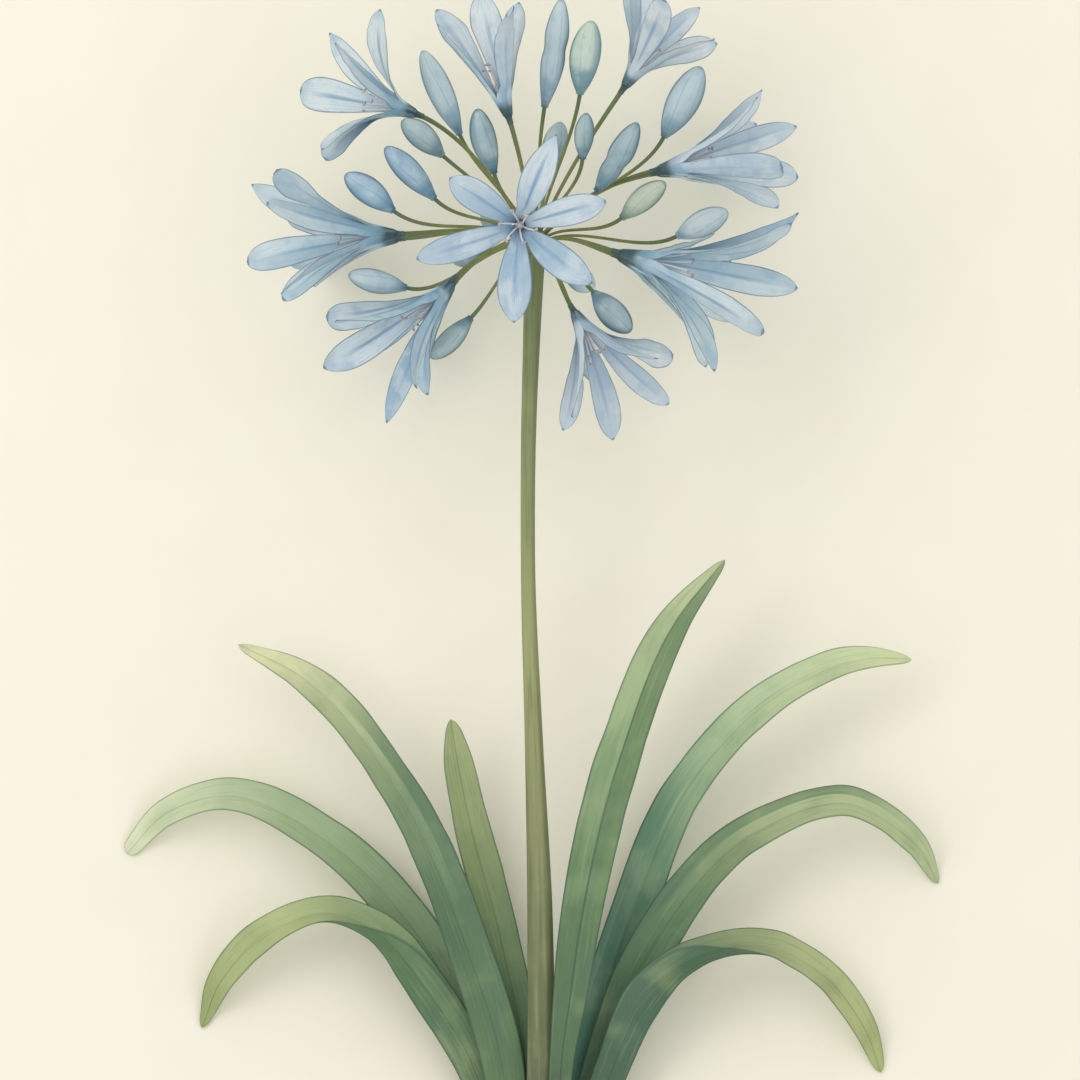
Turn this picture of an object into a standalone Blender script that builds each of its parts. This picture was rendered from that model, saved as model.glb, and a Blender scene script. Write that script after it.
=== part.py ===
"""A compact garden agapanthus, cut at its crown and lying on a flat surface.

The plan is in millimetres. X runs to the right, Y from the crown to the flower head, and Z
up from the surface that the plant lies on. Y is 0 at the cut end of the crown.
"""

import math

import bmesh
import bpy
import numpy as np
from mathutils import Vector

MM = 0.001
GAP = 0.3
WELD = 0.00001

# The crown: a short rootstock, cut level, and trimmed flat where the plant rests on it.
CROWN_MIDDLE_X = 1.5
CROWN_WIDTH = 57.0
CROWN_DEPTH = 30.0
CROWN_LENGTH = 20.0
CROWN_SINK = 1.2
CROWN_SIDES = 24
CROWN_TAPER = 0.74
CROWN_ROUNDING = 2.6
CROWN_ROUND_STEPS = 2

# The flower stem, from the crown to the middle of the umbel: x, y, z and radius.
STEM = [
    (0.0, 18.0, 15.2, 5.6),
    (0.4, 62.0, 20.5, 5.5),
    (0.0, 109.0, 28.0, 5.1),
    (-2.4, 178.0, 40.0, 3.7),
    (-4.8, 250.0, 54.5, 2.9),
    (-4.6, 300.0, 65.0, 3.0),
    (-3.0, 350.0, 75.5, 3.6),
    (-2.0, 376.0, 80.5, 4.2),
]
STEM_STEPS = 16
STEM_SIDES = 10
UMBEL = (-2.0, 379.0, 82.0)
HEAD_RADIUS = 6.5
HEAD_SQUASH = 0.8
HEAD_SIDES = 12
HEAD_RINGS = 8
STALK_RADIUS = 0.85
STALK_TOP = 1.2
STALK_STEPS = 5
STALK_SIDES = 6
STALK_ROOT = 3.0
STALK_UPWARD = (0.0, 0.4, 0.08)
STALK_LEAVE = 0.33
STALK_ARRIVE = 0.3

# Leaves: the middle line from the crown to the tip as x, y, z, then the width there and the
# turn of the blade about its own length, where 0 shows its whole width from above.
LEAVES = {
    "leaf_1": [
        (-12, 18, 10.4, 13, 4),
        (-14.5, 46, 13, 17, 8),
        (-30, 98, 24, 18.5, 20),
        (-59, 162, 34, 17.5, 30),
        (-96, 205, 32, 13.5, 30),
        (-121, 218, 26, 3, 25),
    ],
    "leaf_2": [
        (-15, 18, 4.4, 13, 0),
        (-24, 52, 4.6, 18, 0),
        (-54, 108, 8, 18.5, 8),
        (-86, 139, 19, 18, 26),
        (-126, 157, 18, 15.5, 30),
        (-150, 150, 9, 11.5, 20),
        (-166, 134, -4, 6, 8),
    ],
    "leaf_3": [
        (-17, 18, 7.4, 13, 0),
        (-25.5, 46, 10.5, 14.5, 4),
        (-46, 80, 21, 18, 22),
        (-68, 104, 27, 17.5, 46),
        (-86, 110, 27, 17, 52),
        (-108, 102, 21, 16.5, 40),
        (-127, 84, 10, 12, 22),
        (-136, 64, -4, 3, 10),
    ],
    "leaf_4": [
        (-4.5, 18, 6.6, 11, 0),
        (-6, 48, 8.6, 14, 0),
        (-16, 100, 14, 15, 10),
        (-29, 150, 21, 14.5, 15),
        (-34, 176, 25, 10.5, 15),
        (-35.8, 188, 27, 4, 15),
    ],
    "leaf_5": [
        (7.5, 18, 22.4, 9, 0),
        (8.6, 50, 27, 9.5, -2),
        (12, 76, 30.6, 13.5, -6),
        (16, 104, 34, 16.5, -10),
        (33, 175, 45, 18.5, -18),
        (55, 228, 52, 13.5, -20),
        (74, 252, 54, 3, -20),
    ],
    "leaf_6": [
        (12.5, 18, 4.4, 13, 0),
        (19, 50, 4.6, 17, 0),
        (36, 106, 9, 18, -8),
        (62, 164, 26, 18, -26),
        (98, 199, 36, 16.5, -36),
        (130, 212, 32, 12, -36),
        (149, 212, 26, 3, -30),
    ],
    "leaf_7": [
        (17, 18, 7.6, 13, 0),
        (25, 46, 9.4, 17, -2),
        (46, 98, 18, 18.5, -12),
        (86, 142, 31, 18, -34),
        (122, 154, 30, 15.5, -40),
        (150, 138, 15, 10.5, -25),
        (160, 122, -4, 3, -10),
    ],
    "leaf_8": [
        (19, 18, 11.4, 13, 0),
        (29, 48, 16.5, 14, -4),
        (44, 78, 27, 17.5, -22),
        (64, 93, 32, 17, -46),
        (88, 97, 30, 16.5, -52),
        (112, 86, 20, 15, -38),
        (130, 64, 9, 10.5, -22),
        (137, 46, -4, 3, -8),
    ],
}
LEAF_STEPS = 17
LEAF_ACROSS = 4
LEAF_CHANNEL = 0.16
LEAF_CHANNEL_CURVE = 1.5
LEAF_BASE_CHANNEL = 0.1
LEAF_FLAT_BASE = 0.4
LEAF_THICKNESS = 1.4

# Open florets. The stalk's length, bearing and lean, then the flower's length, the width of a
# petal, the flower's bearing and lean, how far its petal tips turn out, and its turn about its
# own axis. A bearing is from straight along the stem to the right, a lean is up from the
# surface, both in degrees.
FLORETS = {
    "floret_1": (70, -43, 4, 54, 13.5, -70, 15, 66, 13),
    "floret_2": (60, -12, 32, 51, 12.5, -17, 14, 27, 54),
    "floret_3": (72, 30, 5, 48, 12.5, 34, 6, 48, -13),
    "floret_4": (63, 60, 26, 59, 12.5, 78, 11, 34, 20),
    "floret_5": (46, 98, 42, 77, 14.0, 107, 7, 44, 15),
    "floret_6": (44, 151, 43, 54, 12.5, 150, 20, 46, 33),
    "floret_7": (47, -116, 38, 63, 13.0, -139, 18, 47, 28),
    "floret_8": (59, -87, 20, 64, 12.5, -91, 10, 43, 18),
    "floret_9": (36, -41, 76, 52, 14.5, -130, 85, 85, 50),
    "floret_10": (50, 99, -47, 58, 12.0, 107, -30, 34, 30),
    "floret_11": (55, -117, -47, 54, 12.0, -139, -30, 34, 30),
    "floret_12": (72, -88, -40, 52, 12.0, -91, -20, 34, 30),
    "floret_13": (74, 60, -40, 50, 12.0, 78, -15, 28, 30),
}
TEPALS = 6
TUBE_END = 0.16
TUBE_TILT = 14.0
TUBE_RADIUS = 1.7
TUBE_BLEND = 0.14
TEPAL_SIDE_SHORTENING = 0.12
TEPAL_LEAST_HALF = 0.8
TEPAL_CROWDING = 0.45
TEPAL_NARROW_ROOT = 0.08
TEPAL_SWELL = 0.8
TEPAL_TIP_TAPER = 4.0
TEPAL_TIP_BLUNTNESS = 0.55
TEPAL_SHAPE_PEAK = 0.65
TEPAL_BEND_START = 0.1
TEPAL_CURL = 0.6
TEPAL_COURSE_STEPS = 100
TEPAL_THICKNESS = 0.7
TEPAL_ROWS = (0.0, 0.08, TUBE_END, 0.34, 0.54, 0.74, 0.9, 1.0)
TEPAL_CUP = 0.16
TEPAL_TWIST = 60.0
WHORL_STEP = 0.5
UPRIGHT_LEAN = 60

# Buds: the stalk's length, bearing and lean, then the bud's length, width, bearing and lean.
BUDS = {
    "bud_1": (52, -47, 16, 22, 10.4, -49, 12),
    "bud_2": (53, -35, -10, 37, 10.4, -24, -6),
    "bud_3": (38, -31, 34, 28, 10.4, -15, 20),
    "bud_4": (50, -67, 30, 30, 10.0, -44, 20),
    "bud_5": (65, -78, 28, 25, 10.8, -53, 16),
    "bud_6": (57, -110, 18, 24, 9.6, -77, 8),
    "bud_7": (43, -140, 24, 23, 8.8, -136, 8),
    "bud_8": (40, 131, 40, 23, 11.2, 137, 20),
    "bud_9": (54, 4, 8, 44, 10.4, 9, 4),
    "bud_10": (62, 17, 10, 30, 12.4, 9, 6),
    "bud_11": (42, 30, 26, 19, 8.0, 5, 16),
    "bud_12": (40, 51, 38, 34, 10.4, 31, 22),
    "bud_13": (66, 51, 4, 32, 13.2, 28, 4),
    "bud_14": (44, 75, 36, 24, 9.6, 51, 22),
    "bud_15": (58, 88, 14, 23, 10.8, 64, 8),
    "bud_16": (34, 0, -78, 22, 9.0, 0, -70),
    "bud_17": (54, 154, -40, 22, 9.0, 162, -30),
    "bud_18": (48, -60, -74, 24, 9.6, -60, -66),
    "bud_19": (42, 128, -68, 26, 10.0, 128, -60),
    "bud_20": (44, -100, -62, 24, 10.0, -100, -58),
    "bud_21": (42, 12, -46, 26, 10.0, 12, -40),
}
BUD_SIDES = 8
BUD_RINGS = 7
BUD_SKEW = 1.15
BUD_FULLNESS = 0.62

# Whatever would reach below the surface lies bent along it instead, from this height down.
REST_BAND = 4.0
REST_CLEARANCE = 0.03

LEAF_GREEN = (0.16, 0.29, 0.17)
STEM_GREEN = (0.21, 0.24, 0.09)
TEPAL_BLUE = (0.42, 0.55, 0.79)
BUD_BLUE = (0.33, 0.46, 0.56)
CROWN_BROWN = (0.34, 0.30, 0.17)
LEAF_ROUGHNESS = 0.5
STEM_ROUGHNESS = 0.5
TEPAL_ROUGHNESS = 0.55
BUD_ROUGHNESS = 0.5
CROWN_ROUGHNESS = 0.8


def material(name, colour, roughness):
    made = bpy.data.materials.new(name)
    made.use_nodes = True
    shader = made.node_tree.nodes["Principled BSDF"]
    shader.inputs["Base Color"].default_value = (*colour, 1.0)
    shader.inputs["Roughness"].default_value = roughness
    shader.inputs["Metallic"].default_value = 0.0
    return made


def unit(vector):
    vector = np.asarray(vector, float)
    return vector / np.linalg.norm(vector, axis=-1, keepdims=True)


def heading(bearing, lean):
    """The direction that a bearing and a lean in degrees give."""
    across = math.cos(math.radians(lean))
    turn = math.radians(bearing)
    height = math.sin(math.radians(lean))
    return np.array([math.sin(turn) * across, math.cos(turn) * across, height])


def rested(points, thickness):
    """The middle of a sheet, with its heights eased up so that it lies on the surface."""
    points = np.array(points, float)
    height = points[..., 2]
    floor = thickness / 2 + REST_CLEARANCE
    room = REST_BAND - floor
    eased = floor + room * np.exp((np.minimum(height, REST_BAND) - REST_BAND) / room)
    points[..., 2] = np.where(height < REST_BAND, eased, height)
    return points


def smooth_path(rows, count):
    """Rows read from a smooth curve through the given rows, evenly spaced along them."""
    rows = np.array(rows, float)
    reach = np.linalg.norm(np.diff(rows[:, :3], axis=0), axis=1)
    at = np.concatenate([[0.0], np.cumsum(reach)])
    slope = np.gradient(rows, at, axis=0)
    want = np.linspace(0.0, at[-1], count)
    cell = np.clip(np.searchsorted(at, want, side="right") - 1, 0, len(at) - 2)
    span = (at[cell + 1] - at[cell])[:, None]
    t = (want - at[cell])[:, None] / span
    start, end = rows[cell], rows[cell + 1]
    leave, arrive = slope[cell] * span, slope[cell + 1] * span
    return (
        start * (2 * t**3 - 3 * t**2 + 1)
        + leave * (t**3 - 2 * t**2 + t)
        + end * (3 * t**2 - 2 * t**3)
        + arrive * (t**3 - t**2)
    )


def grid_faces(rows, columns, start):
    """Two triangles for each cell of a grid of points."""
    first = start + np.arange(rows - 1)[:, None] * columns + np.arange(columns - 1)
    first = first.reshape(-1)
    corners = [first, first + 1, first + columns + 1, first + columns]
    lower = np.stack([corners[0], corners[1], corners[2]], axis=1)
    upper = np.stack([corners[0], corners[2], corners[3]], axis=1)
    return np.concatenate([lower, upper])


def new_object(name, mesh, look, group):
    mesh.materials.clear()
    mesh.materials.append(look)
    made = bpy.data.objects.new(name, mesh)
    group.objects.link(made)
    return made


def sheet_object(name, points, faces, thickness, look, group):
    """A thin sheet of triangles, welded where its edges meet, with an even thickness."""
    mesh = bpy.data.meshes.new(name)
    mesh.from_pydata((points * MM).tolist(), [], faces.tolist())
    shape = bmesh.new()
    shape.from_mesh(mesh)
    bmesh.ops.remove_doubles(shape, verts=shape.verts, dist=WELD)
    bmesh.ops.dissolve_degenerate(shape, edges=shape.edges, dist=WELD)
    bmesh.ops.recalc_face_normals(shape, faces=shape.faces)
    shape.to_mesh(mesh)
    shape.free()
    made = new_object(name, mesh, look, group)
    wall = made.modifiers.new("wall", "SOLIDIFY")
    wall.thickness = thickness * MM
    wall.offset = 0.0
    wall.use_rim = True
    mesh.shade_smooth()
    return made


def leaf(name, rows, look, group):
    """A strap leaf: a channelled blade carried along its middle line."""
    path = smooth_path(rows, LEAF_STEPS)
    middle, width, turn = path[:, :3], path[:, 3], np.radians(path[:, 4])
    along = unit(np.gradient(middle, axis=0))
    across = unit(np.cross((0.0, 0.0, 1.0), along))
    upward = np.cross(along, across)
    side = np.cos(turn)[:, None] * across + np.sin(turn)[:, None] * upward
    face = np.cos(turn)[:, None] * upward - np.sin(turn)[:, None] * across
    u = np.linspace(-1.0, 1.0, LEAF_ACROSS + 1)
    half = width[:, None] / 2
    out = (half * u)[..., None] * side[:, None]
    opening = np.linspace(0.0, 1.0, LEAF_STEPS)
    ramp = np.clip(opening / LEAF_FLAT_BASE, LEAF_BASE_CHANNEL, 1.0)
    channel = (LEAF_CHANNEL * ramp * width)[:, None] * np.abs(u) ** LEAF_CHANNEL_CURVE
    lift = channel[..., None] * face[:, None]
    points = rested(middle[:, None] + out + lift, LEAF_THICKNESS)
    points[..., 1] = np.maximum(points[..., 1], CROWN_LENGTH + GAP)
    faces = grid_faces(LEAF_STEPS, LEAF_ACROSS + 1, 0)
    sheet_object(name, points.reshape(-1, 3), faces, LEAF_THICKNESS, look, group)


def flower_axes(bearing, lean, turn):
    """A flower's own axes: outwards from its axis at zero turn, sideways, and along it."""
    axis = heading(bearing, lean)
    reference = (0.0, 1.0, 0.0) if lean > UPRIGHT_LEAN else (0.0, 0.0, 1.0)
    side = unit(np.cross(axis, reference))
    top = np.cross(side, axis)
    angle = math.radians(turn)
    outward = math.cos(angle) * top + math.sin(angle) * side
    return outward, np.cross(axis, outward), axis


def middle_of(values):
    """The value half way between each two neighbours."""
    return (values[1:] + values[:-1]) / 2


def tepal_course(rows, own_length, length, spread):
    """The distance from the flower's axis and along it, and the tilt, at each row.

    The tube is as long in every petal, and a shorter petal is shorter past it.
    """
    fine = np.linspace(0.0, 1.0, TEPAL_COURSE_STEPS + 1)
    opening = np.clip((fine - TEPAL_BEND_START) / (1 - TEPAL_BEND_START), 0.0, 1.0)
    tilt = np.radians(TUBE_TILT + (spread - TUBE_TILT) * opening**TEPAL_CURL)
    middle = middle_of(tilt)
    past_tube = (own_length - length * TUBE_END) / (1 - TUBE_END)
    in_tube = middle_of(fine) < TUBE_END
    step = np.diff(fine) * np.where(in_tube, length, past_tube)
    out = np.concatenate([[0.0], np.cumsum(step * np.sin(middle))]) + TUBE_RADIUS
    far = np.concatenate([[0.0], np.cumsum(step * np.cos(middle))])
    return np.interp(rows, fine, out), np.interp(rows, fine, far), np.interp(rows, fine, tilt)


def tepal_half_width(rows, out, width):
    """Narrow at the tube, widest at two thirds, and closing to a blunt tip."""
    t = np.clip((rows - TEPAL_NARROW_ROOT) / (1 - TEPAL_NARROW_ROOT), 0.0, 1.0)
    closing = (1 - t**TEPAL_TIP_TAPER) ** TEPAL_TIP_BLUNTNESS
    shape = t**TEPAL_SWELL * closing / TEPAL_SHAPE_PEAK
    return np.clip(width / 2 * shape, TEPAL_LEAST_HALF, TEPAL_CROWDING * out)


def floret(name, plan, look, group):
    """Six tepals, joined in a short tube and spreading past it."""
    stalk, bearing, lean, length, width, face_bearing, face_lean, spread, turn = plan
    outward, sideways, axis = flower_axes(face_bearing, face_lean, turn)
    base = np.array(UMBEL) + heading(bearing, lean) * stalk
    base += axis * (GAP + TEPAL_THICKNESS / 2)
    rows = np.array(TEPAL_ROWS)
    v = np.array([-1.0, 0.0, 1.0])
    free = np.clip((rows - TUBE_END) / TUBE_BLEND, 0.0, 1.0)[:, None]
    grown = np.clip((rows - TUBE_END) / (1 - TUBE_END), 0.0, 1.0)[:, None]
    round_tube = math.pi / TEPALS * v
    points = []
    faces = []
    for petal in range(TEPALS):
        angle = 2 * math.pi / TEPALS * petal
        at_side = math.sin(angle + math.radians(turn)) ** 2
        own_length = length * (1 - TEPAL_SIDE_SHORTENING * at_side)
        out, far, tilt = tepal_course(rows, own_length, length, spread)
        half = tepal_half_width(rows, out, width)
        leaning = tilt[:, None] * free
        across = (1 - free) * out[:, None] * np.sin(round_tube) + free * half[:, None] * v
        inward = (1 - free) * out[:, None] * (1 - np.cos(round_tube))
        inward = inward + free * TEPAL_CUP * half[:, None] * v**2
        spoke = math.cos(angle) * outward + math.sin(angle) * sideways
        tangent = math.cos(angle) * sideways - math.sin(angle) * outward
        inner = np.sin(leaning) * axis - np.cos(leaning) * spoke
        twist = np.radians(TEPAL_TWIST) * tangent[2] ** 3 * (1 - abs(axis[2])) * grown
        twist = (twist * free)[..., None]
        wide = np.cos(twist) * tangent - np.sin(twist) * inner[:, None]
        face = np.cos(twist) * inner[:, None] + np.sin(twist) * tangent
        shift = WHORL_STEP * (1 if petal % 2 else -1) * free
        middle = base + far[:, None] * axis + (out[:, None] + shift) * spoke
        place = middle[:, None] + across[..., None] * wide + inward[..., None] * face
        faces.append(grid_faces(len(rows), len(v), len(v) * len(rows) * petal))
        points.append(place.reshape(-1, 3))
    count = TEPALS * len(v) * len(rows)
    foot = []
    for petal in range(TEPALS):
        first = petal * len(v) * len(rows)
        foot.append((count, first + 1, first))
        foot.append((count, first + 2, first + 1))
    points.append(base[None])
    faces.append(np.array(foot))
    settled = rested(np.concatenate(points), TEPAL_THICKNESS)
    sheet_object(name, settled, np.concatenate(faces), TEPAL_THICKNESS, look, group)


def bud(name, plan, look, group):
    """A closed bud: a sphere drawn out along its axis, narrow at the stalk."""
    stalk, bearing, lean, length, width, face_bearing, face_lean = plan
    outward, sideways, axis = flower_axes(face_bearing, face_lean, 0.0)
    base = np.array(UMBEL) + heading(bearing, lean) * stalk + axis * GAP
    shape = bmesh.new()
    bmesh.ops.create_uvsphere(
        shape, u_segments=BUD_SIDES, v_segments=BUD_RINGS, radius=1.0
    )
    for corner in shape.verts:
        x, y, z = corner.co
        t = (z + 1) / 2
        ring = math.hypot(x, y)
        swell = max(0.0, math.sin(math.pi * t**BUD_SKEW)) ** BUD_FULLNESS
        reach = width / 2 * swell / ring if ring > 0.001 else 0.0
        place = base + axis * length * t + (outward * x + sideways * y) * reach
        corner.co = Vector(place * MM)
    mesh = bpy.data.meshes.new(name)
    shape.to_mesh(mesh)
    shape.free()
    mesh.shade_smooth()
    new_object(name, mesh, look, group)


def tube(name, points, radii, sides, group):
    """A round tube of changing thickness along a path, as a closed mesh."""
    curve = bpy.data.curves.new(name, "CURVE")
    curve.dimensions = "3D"
    curve.bevel_depth = MM
    curve.bevel_resolution = sides // 2 - 2
    curve.use_fill_caps = True
    line = curve.splines.new("POLY")
    line.points.add(len(points) - 1)
    for point, place, radius in zip(line.points, points, radii):
        point.co = (*(place * MM), 1.0)
        point.radius = radius
    guide = bpy.data.objects.new(name + "_route", curve)
    group.objects.link(guide)
    graph = bpy.context.evaluated_depsgraph_get()
    mesh = bpy.data.meshes.new_from_object(guide.evaluated_get(graph))
    shape = bmesh.new()
    shape.from_mesh(mesh)
    bmesh.ops.remove_doubles(shape, verts=shape.verts, dist=WELD)
    bmesh.ops.recalc_face_normals(shape, faces=shape.faces)
    shape.to_mesh(mesh)
    shape.free()
    bpy.data.objects.remove(guide)
    made = bpy.data.objects.new(name, mesh)
    group.objects.link(made)
    return made


def stalk_path(plan, flower_bearing, flower_lean):
    """A gently bent stalk that leaves along the stem and meets its flower end on."""
    length, bearing, lean = plan
    way = heading(bearing, lean)
    start = np.array(UMBEL) + way * STALK_ROOT
    end = np.array(UMBEL) + way * length
    leave = start + unit(way + np.array(STALK_UPWARD)) * length * STALK_LEAVE
    arrive = end - heading(flower_bearing, flower_lean) * length * STALK_ARRIVE
    t = np.linspace(0.0, 1.0, STALK_STEPS + 1)[:, None]
    return (
        start * (1 - t) ** 3
        + 3 * leave * t * (1 - t) ** 2
        + 3 * arrive * t**2 * (1 - t)
        + end * t**3
    )


def flower_stem(look, group):
    """The stem, the knob at its top and the stalk of each floret and bud, as one body."""
    path = smooth_path(STEM, STEM_STEPS)
    stem = tube("flower_stem", path[:, :3], path[:, 3], STEM_SIDES, group)
    for corner in stem.data.vertices:
        corner.co.y = max(corner.co.y, (CROWN_LENGTH + GAP) * MM)
    joined = bpy.data.collections.new("stalks")
    bpy.context.scene.collection.children.link(joined)
    shape = bmesh.new()
    bmesh.ops.create_uvsphere(
        shape, u_segments=HEAD_SIDES, v_segments=HEAD_RINGS, radius=HEAD_RADIUS * MM
    )
    for corner in shape.verts:
        corner.co = Vector((corner.co.x, corner.co.y * HEAD_SQUASH, corner.co.z))
        corner.co += Vector(UMBEL) * MM
    knob = bpy.data.meshes.new("knob")
    shape.to_mesh(knob)
    shape.free()
    joined.objects.link(bpy.data.objects.new("knob", knob))
    ends = [(plan[:3], plan[5], plan[6]) for plan in FLORETS.values()]
    ends += [(plan[:3], plan[5], plan[6]) for plan in BUDS.values()]
    swelling = np.linspace(0.0, 1.0, STALK_STEPS + 1) ** 2
    radii = STALK_RADIUS + (STALK_TOP - STALK_RADIUS) * swelling
    for number, (plan, bearing, lean) in enumerate(ends):
        tube(f"stalk_{number}", stalk_path(plan, bearing, lean), radii, STALK_SIDES, joined)
    union = stem.modifiers.new("grown together", "BOOLEAN")
    union.operation = "UNION"
    union.operand_type = "COLLECTION"
    union.collection = joined
    union.solver = "EXACT"
    union.use_self = True
    graph = bpy.context.evaluated_depsgraph_get()
    mesh = bpy.data.meshes.new_from_object(stem.evaluated_get(graph))
    for part in list(joined.objects):
        bpy.data.objects.remove(part)
    bpy.data.collections.remove(joined)
    bpy.data.objects.remove(stem)
    mesh.shade_smooth()
    new_object("flower_stem", mesh, look, group)


def crown(look, group):
    """The rootstock: an oval knob with rounded rims and a flat underside."""
    shape = bmesh.new()
    bmesh.ops.create_cone(
        shape,
        cap_ends=True,
        segments=CROWN_SIDES,
        radius1=0.5,
        radius2=0.5 * CROWN_TAPER,
        depth=1.0,
    )
    for corner in shape.verts:
        x, y, z = corner.co
        height = math.hypot(x, y) + y
        corner.co = Vector(
            (
                (CROWN_MIDDLE_X + x * CROWN_WIDTH) * MM,
                (0.5 - z) * CROWN_LENGTH * MM,
                (height * CROWN_DEPTH - CROWN_SINK) * MM,
            )
        )
    bmesh.ops.recalc_face_normals(shape, faces=shape.faces)
    rims = [edge for edge in shape.edges if abs(edge.verts[0].co.y - edge.verts[1].co.y) < MM]
    bmesh.ops.bevel(
        shape,
        geom=rims,
        offset=CROWN_ROUNDING * MM,
        offset_type="OFFSET",
        segments=CROWN_ROUND_STEPS,
        profile=0.5,
        affect="EDGES",
    )
    cut = bmesh.ops.bisect_plane(
        shape,
        geom=shape.verts[:] + shape.edges[:] + shape.faces[:],
        plane_co=(0.0, 0.0, 0.0),
        plane_no=(0.0, 0.0, -1.0),
        clear_outer=True,
    )
    rim = [item for item in cut["geom_cut"] if isinstance(item, bmesh.types.BMEdge)]
    bmesh.ops.holes_fill(shape, edges=rim)
    bmesh.ops.recalc_face_normals(shape, faces=shape.faces)
    mesh = bpy.data.meshes.new("crown")
    shape.to_mesh(mesh)
    shape.free()
    new_object("crown", mesh, look, group)


def centre_on_origin(group):
    """Stands the middle of the plant's outline over the origin, by moving one empty."""
    graph = bpy.context.evaluated_depsgraph_get()
    corners = []
    for item in group.objects:
        mesh = item.evaluated_get(graph).to_mesh()
        place = np.empty(len(mesh.vertices) * 3, np.float32)
        mesh.vertices.foreach_get("co", place)
        corners.append(place.reshape(-1, 3))
    corners = np.concatenate(corners)
    middle = (corners.min(axis=0) + corners.max(axis=0)) / 2
    holder = bpy.data.objects.new("lying_plant", None)
    for item in list(group.objects):
        item.parent = holder
    group.objects.link(holder)
    holder.location = (-middle[0], -middle[1], 0.0)


def main():
    for item in list(bpy.data.objects):
        bpy.data.objects.remove(item)
    plant = bpy.data.collections.new("agapanthus_plant")
    bpy.context.scene.collection.children.link(plant)
    leaf_look = material("leaf_green", LEAF_GREEN, LEAF_ROUGHNESS)
    stem_look = material("stem_green", STEM_GREEN, STEM_ROUGHNESS)
    tepal_look = material("tepal_blue", TEPAL_BLUE, TEPAL_ROUGHNESS)
    bud_look = material("bud_blue", BUD_BLUE, BUD_ROUGHNESS)
    crown_look = material("crown_brown", CROWN_BROWN, CROWN_ROUGHNESS)
    crown(crown_look, plant)
    for name, rows in LEAVES.items():
        leaf(name, rows, leaf_look, plant)
    flower_stem(stem_look, plant)
    for name, plan in FLORETS.items():
        floret(name, plan, tepal_look, plant)
    for name, plan in BUDS.items():
        bud(name, plan, bud_look, plant)
    centre_on_origin(plant)


main()
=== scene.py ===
"""A compact garden agapanthus, cut at its crown, lying on a pale table and seen from above.

The plant's own plan is in millimetres. X runs to the right, Y from the cut end of the crown
to the flower head, and Z up from the table that the plant lies on.
"""

import math

import bpy
import numpy as np
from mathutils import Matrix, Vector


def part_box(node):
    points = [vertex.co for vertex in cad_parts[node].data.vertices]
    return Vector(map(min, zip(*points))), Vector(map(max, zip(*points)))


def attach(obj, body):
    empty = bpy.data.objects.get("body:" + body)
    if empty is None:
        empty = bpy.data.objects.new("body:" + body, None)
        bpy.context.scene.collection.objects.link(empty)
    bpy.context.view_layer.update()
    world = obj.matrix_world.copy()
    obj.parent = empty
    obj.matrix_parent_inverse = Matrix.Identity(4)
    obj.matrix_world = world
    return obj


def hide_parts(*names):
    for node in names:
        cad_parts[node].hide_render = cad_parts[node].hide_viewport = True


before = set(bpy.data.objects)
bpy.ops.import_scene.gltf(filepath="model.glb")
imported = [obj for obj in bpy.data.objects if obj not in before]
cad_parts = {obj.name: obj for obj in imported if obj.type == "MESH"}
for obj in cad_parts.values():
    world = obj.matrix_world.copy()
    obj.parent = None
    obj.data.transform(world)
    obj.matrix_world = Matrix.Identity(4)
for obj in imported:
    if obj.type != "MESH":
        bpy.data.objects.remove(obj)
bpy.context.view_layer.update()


# The crown, or rootstock: a short fleshy body wrapped in the fibrous bases of old leaves. It
# grew as one piece with the plant and is cut level at its lower end, where pale flesh shows.

MM = 0.001
TURN = 2 * math.pi
CROWN_MIDDLE_X = 1.5
CROWN_WIDTH = 57
CROWN_DEPTH = 30
CROWN_LENGTH = 20
CROWN_SINK = 1.2
CROWN_TAPER = 0.74
CROWN_RIM = 2.2
CROWN_SHOULDER = 3.4
CROWN_FACE_END = 0.26
CROWN_FLANK_END = 0.78
CROWN_SCALES = 3.6
CROWN_SCALE_STEP = 0.9
CROWN_FIBRE_STEP = 0.55
CROWN_SKIN = ("5B4F2C", "A2935F")
CROWN_MOSS = "77804A"
CROWN_TOP = "8A9A5E"
CROWN_FLESH = ("E3DDB8", "B8AD78")
CROWN_RIND = "84733F"
crown_low, crown_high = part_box("crown")
crown_middle = (crown_low.x + crown_high.x) / 2
PLAN_ORIGIN = np.array([crown_middle - CROWN_MIDDLE_X * MM, crown_low.y, 0.0])


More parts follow.
